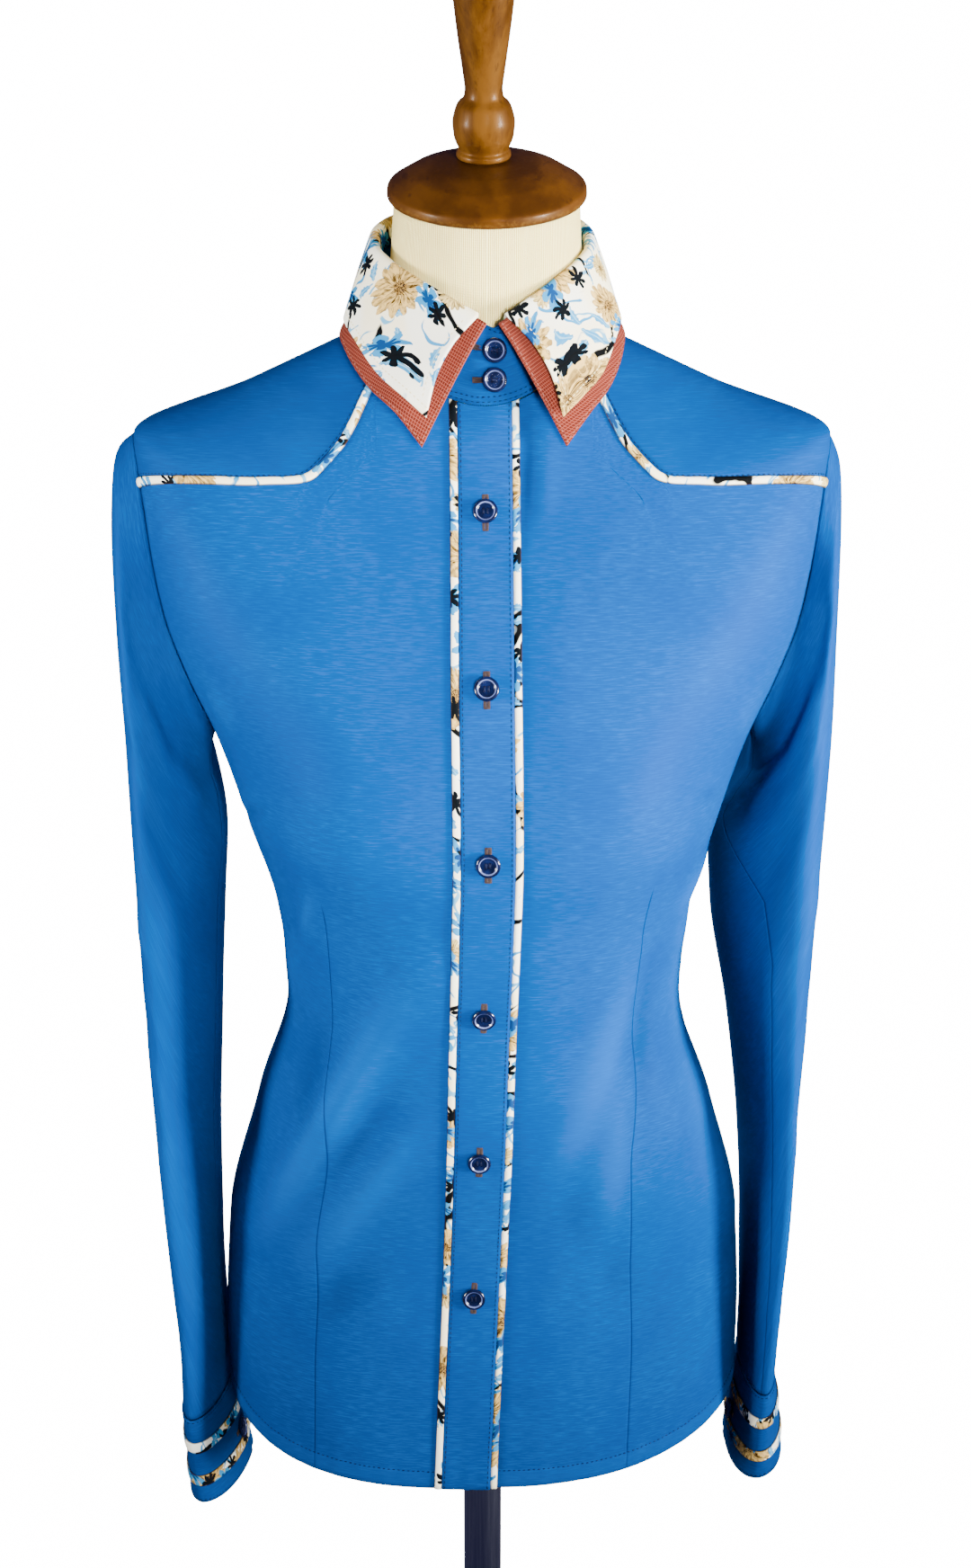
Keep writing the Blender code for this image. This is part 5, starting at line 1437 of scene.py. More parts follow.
class FrontSurface:
    """One front's fine grid: its rows run down, and its columns run out from under the placket."""

    def __init__(self, side: Side) -> None:
        self.side = side
        angle, down = self.control()
        rough = TORSO.at(angle * side.value, down)
        self.row_counts = interval_counts(rough, 0, PANEL_SPACING)
        self.row_counts[0] = PIPING_COUNT
        self.column_counts = interval_counts(rough, 1, PANEL_SPACING)
        self.column_counts[:len(BAND_COUNTS)] = BAND_COUNTS
        self.angle = refined(angle, self.row_counts, self.column_counts)
        self.down = refined(down, self.row_counts, self.column_counts)
        inner = self.column_at(INNER_COLUMNS - 1) + 1
        widths = np.interp(fine_stations(self.column_counts[:INNER_COLUMNS - 1]), np.arange(INNER_COLUMNS),
                           self.widths())
        self.angle[:, :inner] = TORSO.angle_at_width(widths[None, :], self.down[:, :inner])
        self.points = TORSO.at(self.angle * side.value, self.down)
        self.normal = body_normals(self.points)
        self.relief = TORSO.relief(self.points, self.down)

    def widths(self) -> Grid:
        """Distances from the centre front of the inner columns, towards the front's own side seam."""
        half, gap = PLACKET.half, CLOTH.half_gap
        free_edge = -(half - gap) if self.side is Side.RIGHT else -PLACKET.underlap
        return np.array([free_edge, -half / 3.0, half / 3.0, half + gap, half + PLACKET.piping])

    def control(self) -> tuple[Grid, Grid]:
        """The control grid's angles and distances down, laid out as for the wearer's left."""
        inner = self.widths()
        top = np.array(FRONT_TOP_NECK + FRONT_TOP_YOKE)
        piping = PLACKET.piping + CLOTH.seam_gap
        line_angle, line_down = TORSO.step_across(np.radians(top[:, 0]), top[:, 1], piping)
        line_down[:len(FRONT_TOP_NECK)] = piping
        line_down[-1] = PANEL_LINES[PIPING_LINE]
        line_width = TORSO.width_at_angle(line_angle, line_down)
        share = (np.arange(len(top)) + 1.0) / len(top)
        angles, downs = [], []
        for row, (level, inner_down) in enumerate(zip(PANEL_LINES, inner_lines())):
            follow = TOP_FOLLOW[row] if row < len(TOP_FOLLOW) else 0.0
            down, angle = top[:, 1], np.radians(top[:, 0])
            if row > 0:
                down = level + follow * (line_down - PANEL_LINES[PIPING_LINE])
                start = TORSO.angle_at_width(PLACKET.half + PLACKET.piping, level)
                ring_angle = start + (TORSO.armhole(level, "front") - start) * share
                width = follow * line_width + (1.0 - follow) * TORSO.width_at_angle(ring_angle, level)
                angle = TORSO.angle_at_width(width, down)
                angle[-1] = TORSO.armhole(level, "front")
            angles.append(np.concatenate([TORSO.angle_at_width(inner, inner_down), angle]))
            downs.append(np.concatenate([np.full(len(inner), inner_down), down]))
        return np.array(angles), np.array(downs)

    def column_at(self, control: int) -> int:
        """The fine column of a control column."""
        return sum(self.column_counts[:control])

    def row_at(self, control: int) -> int:
        """The fine row of a control row."""
        return sum(self.row_counts[:control])

    def raised(self, lift: Grid | float, rows: slice = slice(None), columns: slice = slice(None)) -> Grid:
        """Part of the grid, moved out by its relief and a lift."""
        height = self.relief[rows, columns] + lift
        return self.points[rows, columns] + self.normal[rows, columns] * height[..., None]

    def marks(self) -> dict[str, Grid]:
        """Per-point values that the cloth reads: fold heights for its painted highlight and shade, the dart's
        seam with its share for a line of painted shade, and the hem.
        """
        across = arc_lengths(self.points)[..., 0]
        line = np.array(DART_LINES[self.side])
        seam = np.zeros_like(across)
        for row in range(len(across)):
            at = math.radians(float(monotone(line[:, 1], line[:, 0],
                                             np.clip(self.down[row].mean(), line[0, 1], line[-1, 1]))))
            seam[row] = across[row] - np.interp(at, self.angle[row], across[row])
        share = smooth_step(self.down - line[0, 1], 0.0, DART_FADE)
        return {"fold": self.relief, "seam": np.clip(seam, -SEAM_REACH, SEAM_REACH), "seam_share": share,
                "hem": TORSO.hem_mark(self.down)}


def dome(count: int, foot: float, rise: float) -> Grid:
    """A round profile over a strip: foot at both edges, and rise more in the middle."""
    s = np.linspace(-1.0, 1.0, count)
    return foot + rise * np.sqrt(np.maximum(1.0 - s * s, 0.0))


def level_cloth(points: Grid, steepness: float = 1.0) -> Grid:
    """Cloth coordinates in metres for a panel cut with its crosswise grain level.

    The first runs along each row, and the second is the height times a steepness, for a sloping panel.
    """
    return np.stack([arc_lengths(points)[..., 0], points[..., 2] * steepness], axis=-1) * MM


def laid_flat(points: Grid) -> Grid:
    """Cloth coordinates in metres for a curved panel, found by walking down its columns from its first row.

    Each step's part along the row moves the first coordinate, and the rest of it the second, so that a
    pattern keeps its shape where the columns lean.
    """
    along = unit(np.gradient(points, axis=1))
    step = np.diff(points, axis=0)
    slide = np.sum(step * along[:-1], axis=-1)
    drop = np.sqrt(np.maximum(np.sum(step * step, axis=-1) - slide * slide, 0.0))
    start = np.zeros((1, points.shape[1]))
    u = arc_lengths(points)[:1, :, 0] + np.concatenate([start, np.cumsum(slide, axis=0)])
    return np.stack([u, -np.concatenate([start, np.cumsum(drop, axis=0)])], axis=-1) * MM


def tape_edge_shade(points: Grid, axis: int) -> Grid:
    """One along a tape's two long edges, where its seams lie and the print gets painted shade, and nought
    between them.
    """
    rim = np.zeros(points.shape[:2])
    if axis == 0:
        rim[[0, -1]] = 1.0
    else:
        rim[:, [0, -1]] = 1.0
    return rim


@dataclass
class Bodice:
    """The fronts, the yokes, the back, the placket and the pipings between them."""

    model: Model
    seamstress: Seamstress

    # The back's grid: its spacing, and about half of its breadth round the body
    back_spacing: float = 4.4
    half_back: float = 230.0

    # How far a yoke stands out of the front's surface
    yoke_lift: float = 0.25

    def __post_init__(self) -> None:
        """Work out both fronts' surfaces."""
        self.fronts = {side: FrontSurface(side) for side in Side}

    def build(self) -> None:
        """Make every panel of the body."""
        for side in Side:
            self.front(side)
            self.yoke(side)
            self.yoke_piping(side)
        self.placket()
        self.placket_pipings()
        self.back()

    def front(self, side: Side) -> None:
        """A front, which runs on under the placket; the left one lies a layer lower there."""
        surface = self.fronts[side]
        lower = np.zeros(surface.points.shape[:2])
        if side is Side.LEFT:
            depth = CLOTH.layer + CLOTH.under_spare
            share = np.clip(fine_stations(surface.column_counts) - (INNER_COLUMNS - 1), 0.0, 1.0)
            lower = lower - depth * (1.0 - smooth_step(share, 0.0, 1.0))[None, :]
        points = drawn_in(surface.raised(lower), first_row=CLOTH.half_gap, last_column=CLOTH.half_gap)
        self.model.cloth("front_" + side.label, "front", "satin_shirting", points, uv=level_cloth(points),
                         marks=surface.marks())
        self.seamstress.edge("hem_stitching", points, surface.normal, "last_row", HEM_DEPTH, CLOTH.face)

    def yoke_surface(self, side: Side) -> tuple[Grid, Grid, Grid]:
        """A front yoke's grid: a patch between the shoulder ridge and the front's top edge.

        A point is the ridge's times (1 - q) plus the lower edge's times q, corrected towards the armhole's
        own curve in the measure of its place along the yoke.

        Returns:
            Its points, its outward normals and its distances down.
        """
        surface = self.fronts[side]
        first = surface.column_at(FIRST_YOKE_COLUMN)
        low = np.stack([surface.angle[0, first:], surface.down[0, first:]], axis=-1)
        along = fine_stations(surface.column_counts[FIRST_YOKE_COLUMN:])
        ridge_down = monotone(np.arange(len(RIDGE_LINES)), np.array(RIDGE_LINES), along)
        ridge = np.stack([np.full(len(along), math.pi / 2.0), ridge_down], axis=-1)
        rows = divisions([YOKE_ARM_DOWN], PANEL_SPACING)[0]
        arm_down = np.linspace(TIP_DOWN, YOKE_ARM_DOWN, rows)
        arm = np.stack([TORSO.armhole(arm_down, "front"), arm_down], axis=-1)
        q = np.linspace(0.0, 1.0, rows)[:, None, None]
        towards_arm = (along / along[-1])[None, :, None]
        straight = (1.0 - q) * arm[None, :1] + q * arm[None, -1:]
        patch = (1.0 - q) * ridge[None] + q * low[None] + towards_arm * (arm[:, None] - straight)
        points = TORSO.at(patch[..., 0] * side.value, patch[..., 1])
        return points, body_normals(points, tilt=0.6), patch[..., 1]

    def yoke(self, side: Side) -> None:
        """A front yoke, stitched down beside its lower edge."""
        points, facing, down = self.yoke_surface(side)
        points = points + facing * (TORSO.relief(points, down) + self.yoke_lift)[..., None]
        points = drawn_in(points, first_row=CLOTH.half_gap, last_row=CLOTH.half_gap,
                          last_column=CLOTH.half_gap)
        # The yokes wear the darker copy of the shirting, whose darkness is painted shade.
        self.model.cloth("yoke_" + side.label, "yoke", "satin_shirting_yoke", points,
                         uv=level_cloth(points, 1.5))
        self.seamstress.edge("yoke_stitching", points, facing, "last_row", STITCH.from_edge, CLOTH.face)

    def yoke_piping(self, side: Side) -> None:
        """The floral piping below a yoke's edge, rounded over its cord."""
        surface = self.fronts[side]
        last = surface.row_at(PIPING_LINE)
        rows, columns = slice(0, last + 1), slice(surface.column_at(FIRST_YOKE_COLUMN), None)
        points = surface.raised(dome(last + 1, 0.95, 1.25)[:, None], rows, columns)
        points = drawn_in(points, last_column=CLOTH.half_gap)
        self.tape("yoke_piping", side, points, 0)

    def tape(self, kind: str, side: Side, points: Grid, axis: int) -> None:
        """A piping of the printed cloth, whose seams run along its rows or its columns."""
        node = "%s_%s" % (kind, side.label)
        self.model.cloth(node, kind, "floral_tape", points, "tape", marks={"rim": tape_edge_shade(points, axis)},
                         bolt=BOLT_PLACES[node])

    def placket(self) -> None:
        """The placket band on the right front, with both edges turned under and stitched."""
        surface = self.fronts[Side.RIGHT]
        last = surface.column_at(3)
        s = np.linspace(-1.0, 1.0, last + 1)
        lift = CLOTH.layer - 0.55 * smooth_step(np.abs(s), 0.93, 1.0)
        points = surface.raised(lift[None, :], slice(None), slice(0, last + 1))
        points = drawn_in(points, first_row=CLOTH.half_gap, last_column=CLOTH.seam_gap)
        self.model.cloth("placket", "placket", "satin_shirting", points, "band", uv=level_cloth(points))
        for edge in ("first_column", "last_column"):
            self.seamstress.edge("placket_stitching", points, surface.normal[:, :last + 1], edge,
                                 STITCH.from_edge, CLOTH.face)

    def placket_pipings(self) -> None:
        """The floral pipings along both edges of the placket."""
        for side in Side:
            surface = self.fronts[side]
            first, last = surface.column_at(3), surface.column_at(4)
            base = CLOTH.layer if side is Side.RIGHT else 0.0
            lift = base + dome(last - first + 1, -0.5, 1.05)
            points = surface.raised(lift[None, :], slice(None), slice(first, last + 1))
            self.tape("placket_piping", side, drawn_in(points, first_row=CLOTH.half_gap), 1)

    def back(self) -> None:
        """The back: one piece from ridge to ridge and from the neck to the shirt-tail hem."""
        control = np.array(RIDGE_LINES + YOKE_ARM_LINES + ARM_LINES + SIDE_LINES)
        counts = divisions(np.diff(control), self.back_spacing)
        lines = np.interp(fine_stations(counts), np.arange(len(control)), control)
        side_angle = monotone(np.arange(len(control)), TORSO.armhole(control, "back"), fine_stations(counts))
        share = np.linspace(-1.0, 1.0, 2 * int(self.half_back / self.back_spacing) + 1)
        angle = math.pi - share[None, :] * side_angle[:, None]
        down = np.broadcast_to(lines[:, None], angle.shape)
        points = TORSO.at(angle, down)
        facing = body_normals(points, tilt=0.3)
        points = points + facing * TORSO.relief(points, down)[..., None]
        points = drawn_in(points, first_row=CLOTH.half_gap, first_column=CLOTH.half_gap,
                          last_column=CLOTH.half_gap)
        self.model.cloth("back", "back", "satin_shirting", points, uv=level_cloth(points),
                         marks={"hem": TORSO.hem_mark(down)})
        self.seamstress.edge("hem_stitching", points, facing, "last_row", HEM_DEPTH, CLOTH.face)


# -------------------------------------------------------------------------------------- sleeves and cuffs


@dataclass
class Sleeves:
    """Both sleeves with their cuffs, the floral strips on those, and the strips' stitching."""

    model: Model
    seamstress: Seamstress
    around: int = 108
    spacing: float = 3.6

    # Share of a section's depth by which its inner point follows the turn of its front point
    lean: float = 0.22

    # The left sleeve is pushed up by this much at its foot, fading out between two heights
    left_rise: float = 18.0
    left_rise_top: float = 1000.0
    left_rise_bottom: float = 730.0

    # Below this line the armhole's edge stands further clear of the body
    underarm_start: float = 150.0
    armhole_clear: float = 0.35

    # The cuff's columns, where it opens, how far it laps, and how its inner end tucks under
    cuff_around: int = 20
    cuff_steps: int = 8
    cuff_opening: float = math.radians(196.0)
    cuff_overlap: float = math.radians(34.0)
    cuff_tuck_start: float = 1.6
    cuff_tuck_length: float = 0.6

    # Lines down a cuff, and the floral strips between them
    cuff_lines: tuple = (0.0, 0.26, 0.39, 0.66, 0.79, 1.0)
    cuff_strips: tuple = (("upper", 1, 2), ("lower", 3, 4))

    # Where each cuff's button sits: point, outward normal and direction down the cuff
    seats: dict[Side, tuple[Grid, Grid, Grid]] = field(default_factory=dict)

    def build(self) -> None:
        """Make both sleeves and both cuffs."""
        for side in Side:
            self.sleeve(side)
            self.cuff(side)

    def section(self, row: tuple, side: Side, angles: Grid) -> Grid:
        """A closed section through its outer, front, inner and back points.

        From its centre it reaches outwards or inwards by |cos|^p and forwards or backwards by |sin|^p, with
        p = 2 / square, along straight lines to those four points.

        Args:
            row: a row of the sleeves' or the cuffs' table.
            side: the wearer's side.
            angles: radians from the outer point towards the front one.

        Returns:
            The points, laid out as for the wearer's left.
        """
        value = dict(zip(SLEEVE_COLUMNS, row))
        label = side.label
        out_x, in_x, front_turn = value[label + "_out"], value[label + "_in"], value[label + "_turn"]
        middle_y = (value["front_y"] + value["back_y"]) / 2.0
        lean = (front_turn - value["back_turn"]) * (value["back_y"] - value["front_y"]) * self.lean
        outer = np.array([out_x, middle_y, value["out_z"]])
        inner = np.array([in_x, middle_y + lean, value["in_z"]])
        front = np.array([in_x + (out_x - in_x) * front_turn, value["front_y"], value["front_z"]])
        back = np.array([in_x + (out_x - in_x) * value["back_turn"], value["back_y"], value["back_z"]])
        centre = (outer + inner + front + back) / 4.0
        cosine, sine = np.cos(angles)[:, None], np.sin(angles)[:, None]
        power = 2.0 / value["square"]
        along = np.where(cosine > 0.0, outer - centre, inner - centre) * np.abs(cosine) ** power
        across = np.where(sine > 0.0, front - centre, back - centre) * np.abs(sine) ** power
        points = centre + along + across
        if side is Side.LEFT:
            lowness = (self.left_rise_top - points[:, 2]) / (self.left_rise_top - self.left_rise_bottom)
            points[:, 2] += self.left_rise * np.clip(lowness, 0.0, 1.0)
        return points

    def armhole(self, places: Grid) -> Grid:
        """The armhole's edge, from the shoulder tip down the front, under the arm and up the back.

        Args:
            places: shares of the way round, from nought to one.

        Returns:
            Points just clear of the body's panels, laid out as for the wearer's left.
        """
        downs = [line for line in YOKE_ARM_LINES + ARM_LINES if line != ARM_LINES[0] and line < ARMPIT_DOWN]
        front = [(float(TORSO.armhole(line, "front")), line, 1.0, 0.0) for line in downs]
        back = [(math.pi - float(TORSO.armhole(line, "back")), line, -1.0, 0.0) for line in reversed(downs)]
        loop = np.array([(math.pi / 2.0, TIP_DOWN, 0.0, 0.0)] + front
                        + [(math.pi / 2.0, ARMPIT_DOWN, 0.0, 1.0)] + back)
        wrapped = np.concatenate([loop[-3:], loop, loop[:3]])
        found = monotone(np.arange(-3, len(loop) + 3), wrapped, places * len(loop))
        angle, down, turn, underarm = np.moveaxis(found, -1, 0)
        lowness = np.clip((down - self.underarm_start) / (ARMPIT_DOWN - self.underarm_start), 0.0, 1.0)
        clear = np.stack([1.0 + lowness, turn, underarm], axis=-1) * self.armhole_clear
        return TORSO.at(angle, down) + clear

    def mirrored(self, points: Grid, side: Side) -> Grid:
        """Turn points laid out towards +X to a side."""
        return points * np.array([side.value, 1.0, 1.0])

    def sleeve(self, side: Side) -> None:
        """A sleeve: one closed wall from the armhole to the cuff, with soft folds under the arm."""
        share = np.linspace(0.0, 1.0, self.around, endpoint=False)
        angles = share * 2.0 * math.pi
        sections = np.array([self.armhole(share)]
                            + [self.section(row, side, angles) for row in SLEEVE_ROWS])
        counts = divisions(np.linalg.norm(np.diff(sections, axis=0), axis=-1).mean(axis=1), self.spacing, 2)
        points = monotone(np.arange(len(sections)), sections, fine_stations(counts))
        outward = points - points.mean(axis=1, keepdims=True)
        facing = outward_normals(points, outward, closed=True)
        degrees = np.degrees(angles)[None, :]
        down = arc_lengths(points, closed=True)[:, :-1, 1] * -1.0
        to_cuff = down.max(axis=0)[None, :] - down
        free = smooth_step(down, 0.0, 22.0)
        end = smooth_step(to_cuff, 0.0, 30.0)
        lift = ridges(SLEEVE_FOLD_ROWS[side], degrees, points[..., 2])
        lift = lift + WEAR.sleeve_wave * soft_waves(degrees, points[..., 2], seed=11 + int(side.value)) * free
        gathers = WEAR.sleeve_gather * np.sin(np.radians(degrees * WEAR.gathers_round))
        lift = lift * free * end + gathers * (1.0 - smooth_step(to_cuff, 0.0, 26.0)) * end
        points = points + facing * lift[..., None]
        across = arc_lengths(points, closed=True)[:, :-1, 0]
        seam_line = np.array(SLEEVE_SEAM_ROWS[side])
        seam_round = np.interp(points[..., 2].mean(axis=1), seam_line[:, 0], seam_line[:, 1])
        start = np.array([np.interp(turn, degrees[0], row) for turn, row in zip(seam_round, across)])
        seam = across - start[:, None]
        # The seam mark gives a line of painted shade along the armhole seam and the underarm seam.
        seam = np.where(down < 4.0, np.maximum(down, 0.0) - 0.2, np.clip(seam, -SEAM_REACH, SEAM_REACH))
        self.model.cloth("sleeve_" + side.label, "sleeve", "satin_shirting", self.mirrored(points, side),
                         closed=True, marks={"seam": seam, "seam_share": 1.0})

    def cuff(self, side: Side) -> None:
        """A cuff whose two ends lap at the inner side, with two floral strips and a button's seat."""
        steps = self.cuff_around * self.cuff_steps
        share = np.linspace(0.0, 1.0, steps + 1)
        angles = self.cuff_opening - share * (2.0 * math.pi + self.cuff_overlap)
        top, bottom = (self.section(row, side, angles) for row in CUFF_ROWS)
        lines = np.unique(np.concatenate([np.linspace(0.0, 1.0, 21), np.array(self.cuff_lines)]))
        down = lines[:, None, None]
        points = top[None] * (1.0 - down) + bottom[None] * down
        outward = points - points.mean(axis=1, keepdims=True)
        facing = outward_normals(points, outward)
        start = 1.0 - self.cuff_tuck_start * self.cuff_overlap / (2.0 * math.pi + self.cuff_overlap)
        tuck = smooth_step(share, start, start + self.cuff_tuck_length * (1.0 - start))
        depth = -(CLOTH.cuff + CLOTH.lay_gap + CLOTH.cuff_spare) * tuck
        wave = WEAR.cuff_wave * np.sin(share * 31.0) * np.sin(math.pi * lines)[:, None]
        points = points + facing * (depth[None, :] + wave)[..., None]
        points, facing = self.mirrored(points, side), self.mirrored(facing, side)
        self.model.cloth("cuff_" + side.label, "cuff", "satin_shirting", points, wall=CLOTH.cuff * 0.85)
        shown = steps - 2 * self.cuff_steps + 1
        for edge in ("first_row", "last_row"):
            self.seamstress.edge("cuff_stitching", points, facing, edge, STITCH.from_edge,
                                 CLOTH.cuff_face, slice(0, shown))
        for strip, first, last in self.cuff_strips:
            inside = np.linspace(self.cuff_lines[first], self.cuff_lines[last], 9)
            band = monotone(lines, points, inside)[:, :shown]
            band_facing = monotone(lines, facing, inside)[:, :shown]
            lift = CLOTH.cuff_face + dome(len(inside), 0.35, 0.55)[:, None]
            tape = band + band_facing * np.broadcast_to(lift, band.shape[:2])[..., None]
            node = "cuff_strip_%s_%s" % (side.label, strip)
            self.model.cloth(node, "cuff_strip", "floral_tape", tape, "tape", CLOTH.visible_wall * 0.7,
                             marks={"rim": tape_edge_shade(tape, 0)}, bolt=BOLT_PLACES[node])
        column = self.cuff_steps
        row = int(np.searchsorted(lines, (self.cuff_lines[2] + self.cuff_lines[3]) / 2.0))
        self.seats[side] = (points[row, column] + facing[row, column] * CLOTH.cuff_face,
                            facing[row, column], points[row + 1, column] - points[row, column])


# -------------------------------------------------------------------------------------------------- collar


@dataclass
class Collar:
    """The stand, the rust under collar and the floral upper collar that folds over both."""

    model: Model
    seamstress: Seamstress
    spacing: float = 2.2
    stand_spacing: float = 1.8

    # How far the collar's front sits turned round the neck, and the neck's reach in front
    turn: float = 5.5
    neck_reach: float = 67.0

    # Parts that the fall is drawn in, from the fold to the edge
    fallways: int = 3

    # The upper collar's drawn wall, and its stitching's distance to the edge
    top_wall: float = 1.0
    top_stitch_inset: float = 4.6

    # How far the under collar shows beyond the upper one, and its front edge, fold to tip
    under_border: float = 9.0
    under_front: tuple = ((3.2, -70.0, 1393.5), (17.0, -77.0, 1371.0), (38.8, -83.0, 1330.0))
    under_stitch_inset: float = 1.6

    # The stand's columns round the neck seam, in degrees from the centre front, then those of its two
    # ends with the share of the full height that they reach
    stand_round: tuple = (180.0, 160.0, 140.0, 116.0, 94.0, 73.0, 53.0, 36.0, 20.0, 7.0)
    stand_outer_end: tuple = ((0.0, 1.0), (7.0, 0.95), (12.5, 0.84), (17.0, 0.62), (19.5, 0.36))
    stand_inner_end: tuple = ((0.0, 1.0), (7.0, 0.97), (13.0, 0.90))

    # How far the stand leans inwards and ends below the fold, and its foot's lift
    stand_lean: float = 3.0
    stand_drop: float = 2.5
    stand_lift: float = 2.0

    # The top of its two ends: the point at the centre front, how much narrower it is than the foot, and
    # how gently it curves back
    stand_end_middle: tuple = (0.0, -64.2, 1391.0)
    stand_end_narrow: float = 0.93
    stand_end_curve: float = 130.0

    # Distance of the second row of stitching from the foot
    stand_second_row: float = 4.4

    # How far the stand's foot laps over the panels: outwards, and down
    stand_lap: float = 1.0
    stand_lap_down: float = 1.6

    # Where its two buttons sit: point, outward normal and direction along the stand
    seats: list[tuple[Grid, Grid, Grid]] = field(default_factory=list)

    def build(self) -> None:
        """Make the three layers from the inside out."""
        self.stand()
        self.under()
        self.upper()

    def turned(self, points: Grid) -> Grid:
        """Turn the collar's front a little way round the neck, because it sits askew."""
        weight = np.clip(-points[..., 1] / self.neck_reach, 0.0, 1.0)
        angle = self.turn / self.neck_reach * weight[..., None]
        x, y = points[..., :1], points[..., 1:2]
        return np.concatenate([x * np.cos(angle) - y * np.sin(angle), x * np.sin(angle) + y * np.cos(angle),
                               points[..., 2:]], axis=-1)

    def both(self, half: Grid) -> Grid:
        """Mirror a half grid, whose first column is the centre back, and turn its front."""
        return self.turned(np.concatenate([half[:, :0:-1] * np.array([-1.0, 1.0, 1.0]), half], axis=1))

    def half(self) -> Grid:
        """Half of the fall: each column is a parabola through its fold, middle and edge points."""
        table = np.array(COLLAR_ROWS)
        fold, middle, edge = table[:, 0:3], table[:, 3:6], table[:, 6:9]
        return parabola(fold, middle, edge, np.linspace(0.0, 1.0, self.fallways + 1)[:, None, None])

    def fine(self, control: Grid, rows: list[int]) -> Grid:
        """A collar grid refined along the neck and down the fall."""
        return refined(control, rows, interval_counts(control, 1, self.spacing))

    def upper(self) -> None:
        """The floral upper collar, rolled over the fold and a little way down inside the neck."""
        half = self.half()
        fold, out = half[0], away_from_axis(half[0])
        inner = np.interp(np.arange(len(fold)), [0, len(fold) - 3, len(fold) - 1], [13.0, 12.0, 5.0])[:, None]
        up = np.array([0.0, 0.0, 1.0])
        roll = np.stack([fold - out * inwards + up * rise
                         for inwards, rise in ((4.7, -inner), (4.4, -2.0), (3.2, 0.4), (1.5, 0.9))])
        control = self.both(np.concatenate([roll, half]))
        roll_counts, fall_counts = [4, 3, 3, 3], [10, 10, 10]
        points = self.fine(control, roll_counts + fall_counts)
        facing = body_normals(points)
        fall = sum(roll_counts)
        puff = np.zeros(points.shape[:2])
        ways = np.linspace(0.0, 1.0, len(points) - fall)[:, None]
        across = np.linspace(-1.0, 1.0, points.shape[1])[None, :]
        puff[fall:] = WEAR.collar_puff * np.sin(math.pi * ways) * (1.0 + 0.5 * np.sin(across * 17.0))
        points = points + facing * puff[..., None]
        self.model.cloth("collar_top", "collar_top", "floral_collar", points, wall=self.top_wall,
                         uv=laid_flat(points))
        for edge, part in (("last_row", slice(None)), ("first_column", slice(4, -4)),
                           ("last_column", slice(4, -4))):
            self.seamstress.edge("collar_top_stitching", points[fall:], facing[fall:], edge,
                                 self.top_stitch_inset, self.top_wall / 2.0, part)

    def under(self) -> None:
        """The rust under collar, which shows as a border all along the upper one's edges."""
        half = self.half()
        half = half - body_normals(half) * CLOTH.collar_layer
        fall = half[-1] - half[-2]
        along = unit(np.gradient(half[-1], axis=0))
        across = unit(fall - np.sum(fall * along, axis=-1, keepdims=True) * along)
        wide = np.concatenate([half, (half[-1] + across * self.under_border)[None]], axis=0)
        wide[:, -1] = parabola(*np.array(self.under_front), np.linspace(0.0, 1.0, len(wide))[:, None])
        points = self.fine(self.both(wide), [8, 8, 8, 6])
        facing = body_normals(points)
        self.model.cloth("collar_under", "collar_under", "basket_check", points, wall=CLOTH.collar)
        for edge in ("last_row", "first_column", "last_column"):
            self.seamstress.edge("collar_under_stitching", points, facing, edge, self.under_stitch_inset,
                                 CLOTH.collar / 2.0)

    def stand(self) -> None:
        """The stand, whose outer end laps over the inner one at the centre front."""
        turn = self.turn / self.neck_reach
        half_round = np.radians(self.stand_round)
        shift = turn * np.clip(np.cos(half_round), 0.0, 1.0)
        left_foot = TORSO.at(half_round[::-1] + shift[::-1], 0.0, folded=False)
        right_foot = TORSO.at(shift[1:] - half_round[1:], 0.0, folded=False)
        head = np.array(COLLAR_ROWS)[:, 0:3]
        head = head - away_from_axis(head) * self.stand_lean - np.array([0.0, 0.0, self.stand_drop])

        def end_columns(end: tuple, way: float) -> tuple[Grid, Grid]:
            """Foot and head points of one end, past the centre front on the side that it laps over."""
            angle = np.radians([row[0] for row in end]) * way + turn
            share = np.array([row[1] for row in end])[:, None]
            low = TORSO.at(angle, 0.0, folded=False)
            high = np.array(self.stand_end_middle) + low * np.array([self.stand_end_narrow, 0.0, 0.0])
            high[:, 1] += low[:, 0] ** 2 / self.stand_end_curve
            return low, low + (high - low) * share

        inner_low, inner_high = end_columns(self.stand_inner_end, -1.0)
        outer_low, outer_high = end_columns(self.stand_outer_end, 1.0)
        mirror = np.array([-1.0, 1.0, 1.0])
        low = np.concatenate([inner_low[::-1], left_foot, right_foot, outer_low])
        high = np.concatenate([inner_high[::-1], self.turned(head[::-1]), self.turned(head[1:] * mirror),
                               outer_high])
        low = low + np.array([0.0, 0.0, self.stand_lift])
        w = np.linspace(0.0, 1.0, 3)[:, None, None]
        control = low * (1.0 - w) + high * w
        tuck = np.zeros(control.shape[1])
        tuck[:len(self.stand_inner_end) + 2] = 1.0
        tuck[len(self.stand_inner_end) + 2] = 0.5
        control = control - body_normals(control) * (CLOTH.collar_layer * tuck)[None, :, None]
        counts = interval_counts(control, 1, self.stand_spacing)
        points = refined(control, [10, 10], counts)
        lap = 1.0 - smooth_step(-arc_lengths(points)[..., 1], 0.0, 9.0)
        points = points + body_normals(points) * (self.stand_lap * lap)[..., None]
        points[..., 2] -= self.stand_lap_down * lap
        facing = body_normals(points)
        face = CLOTH.shirting / 2.0
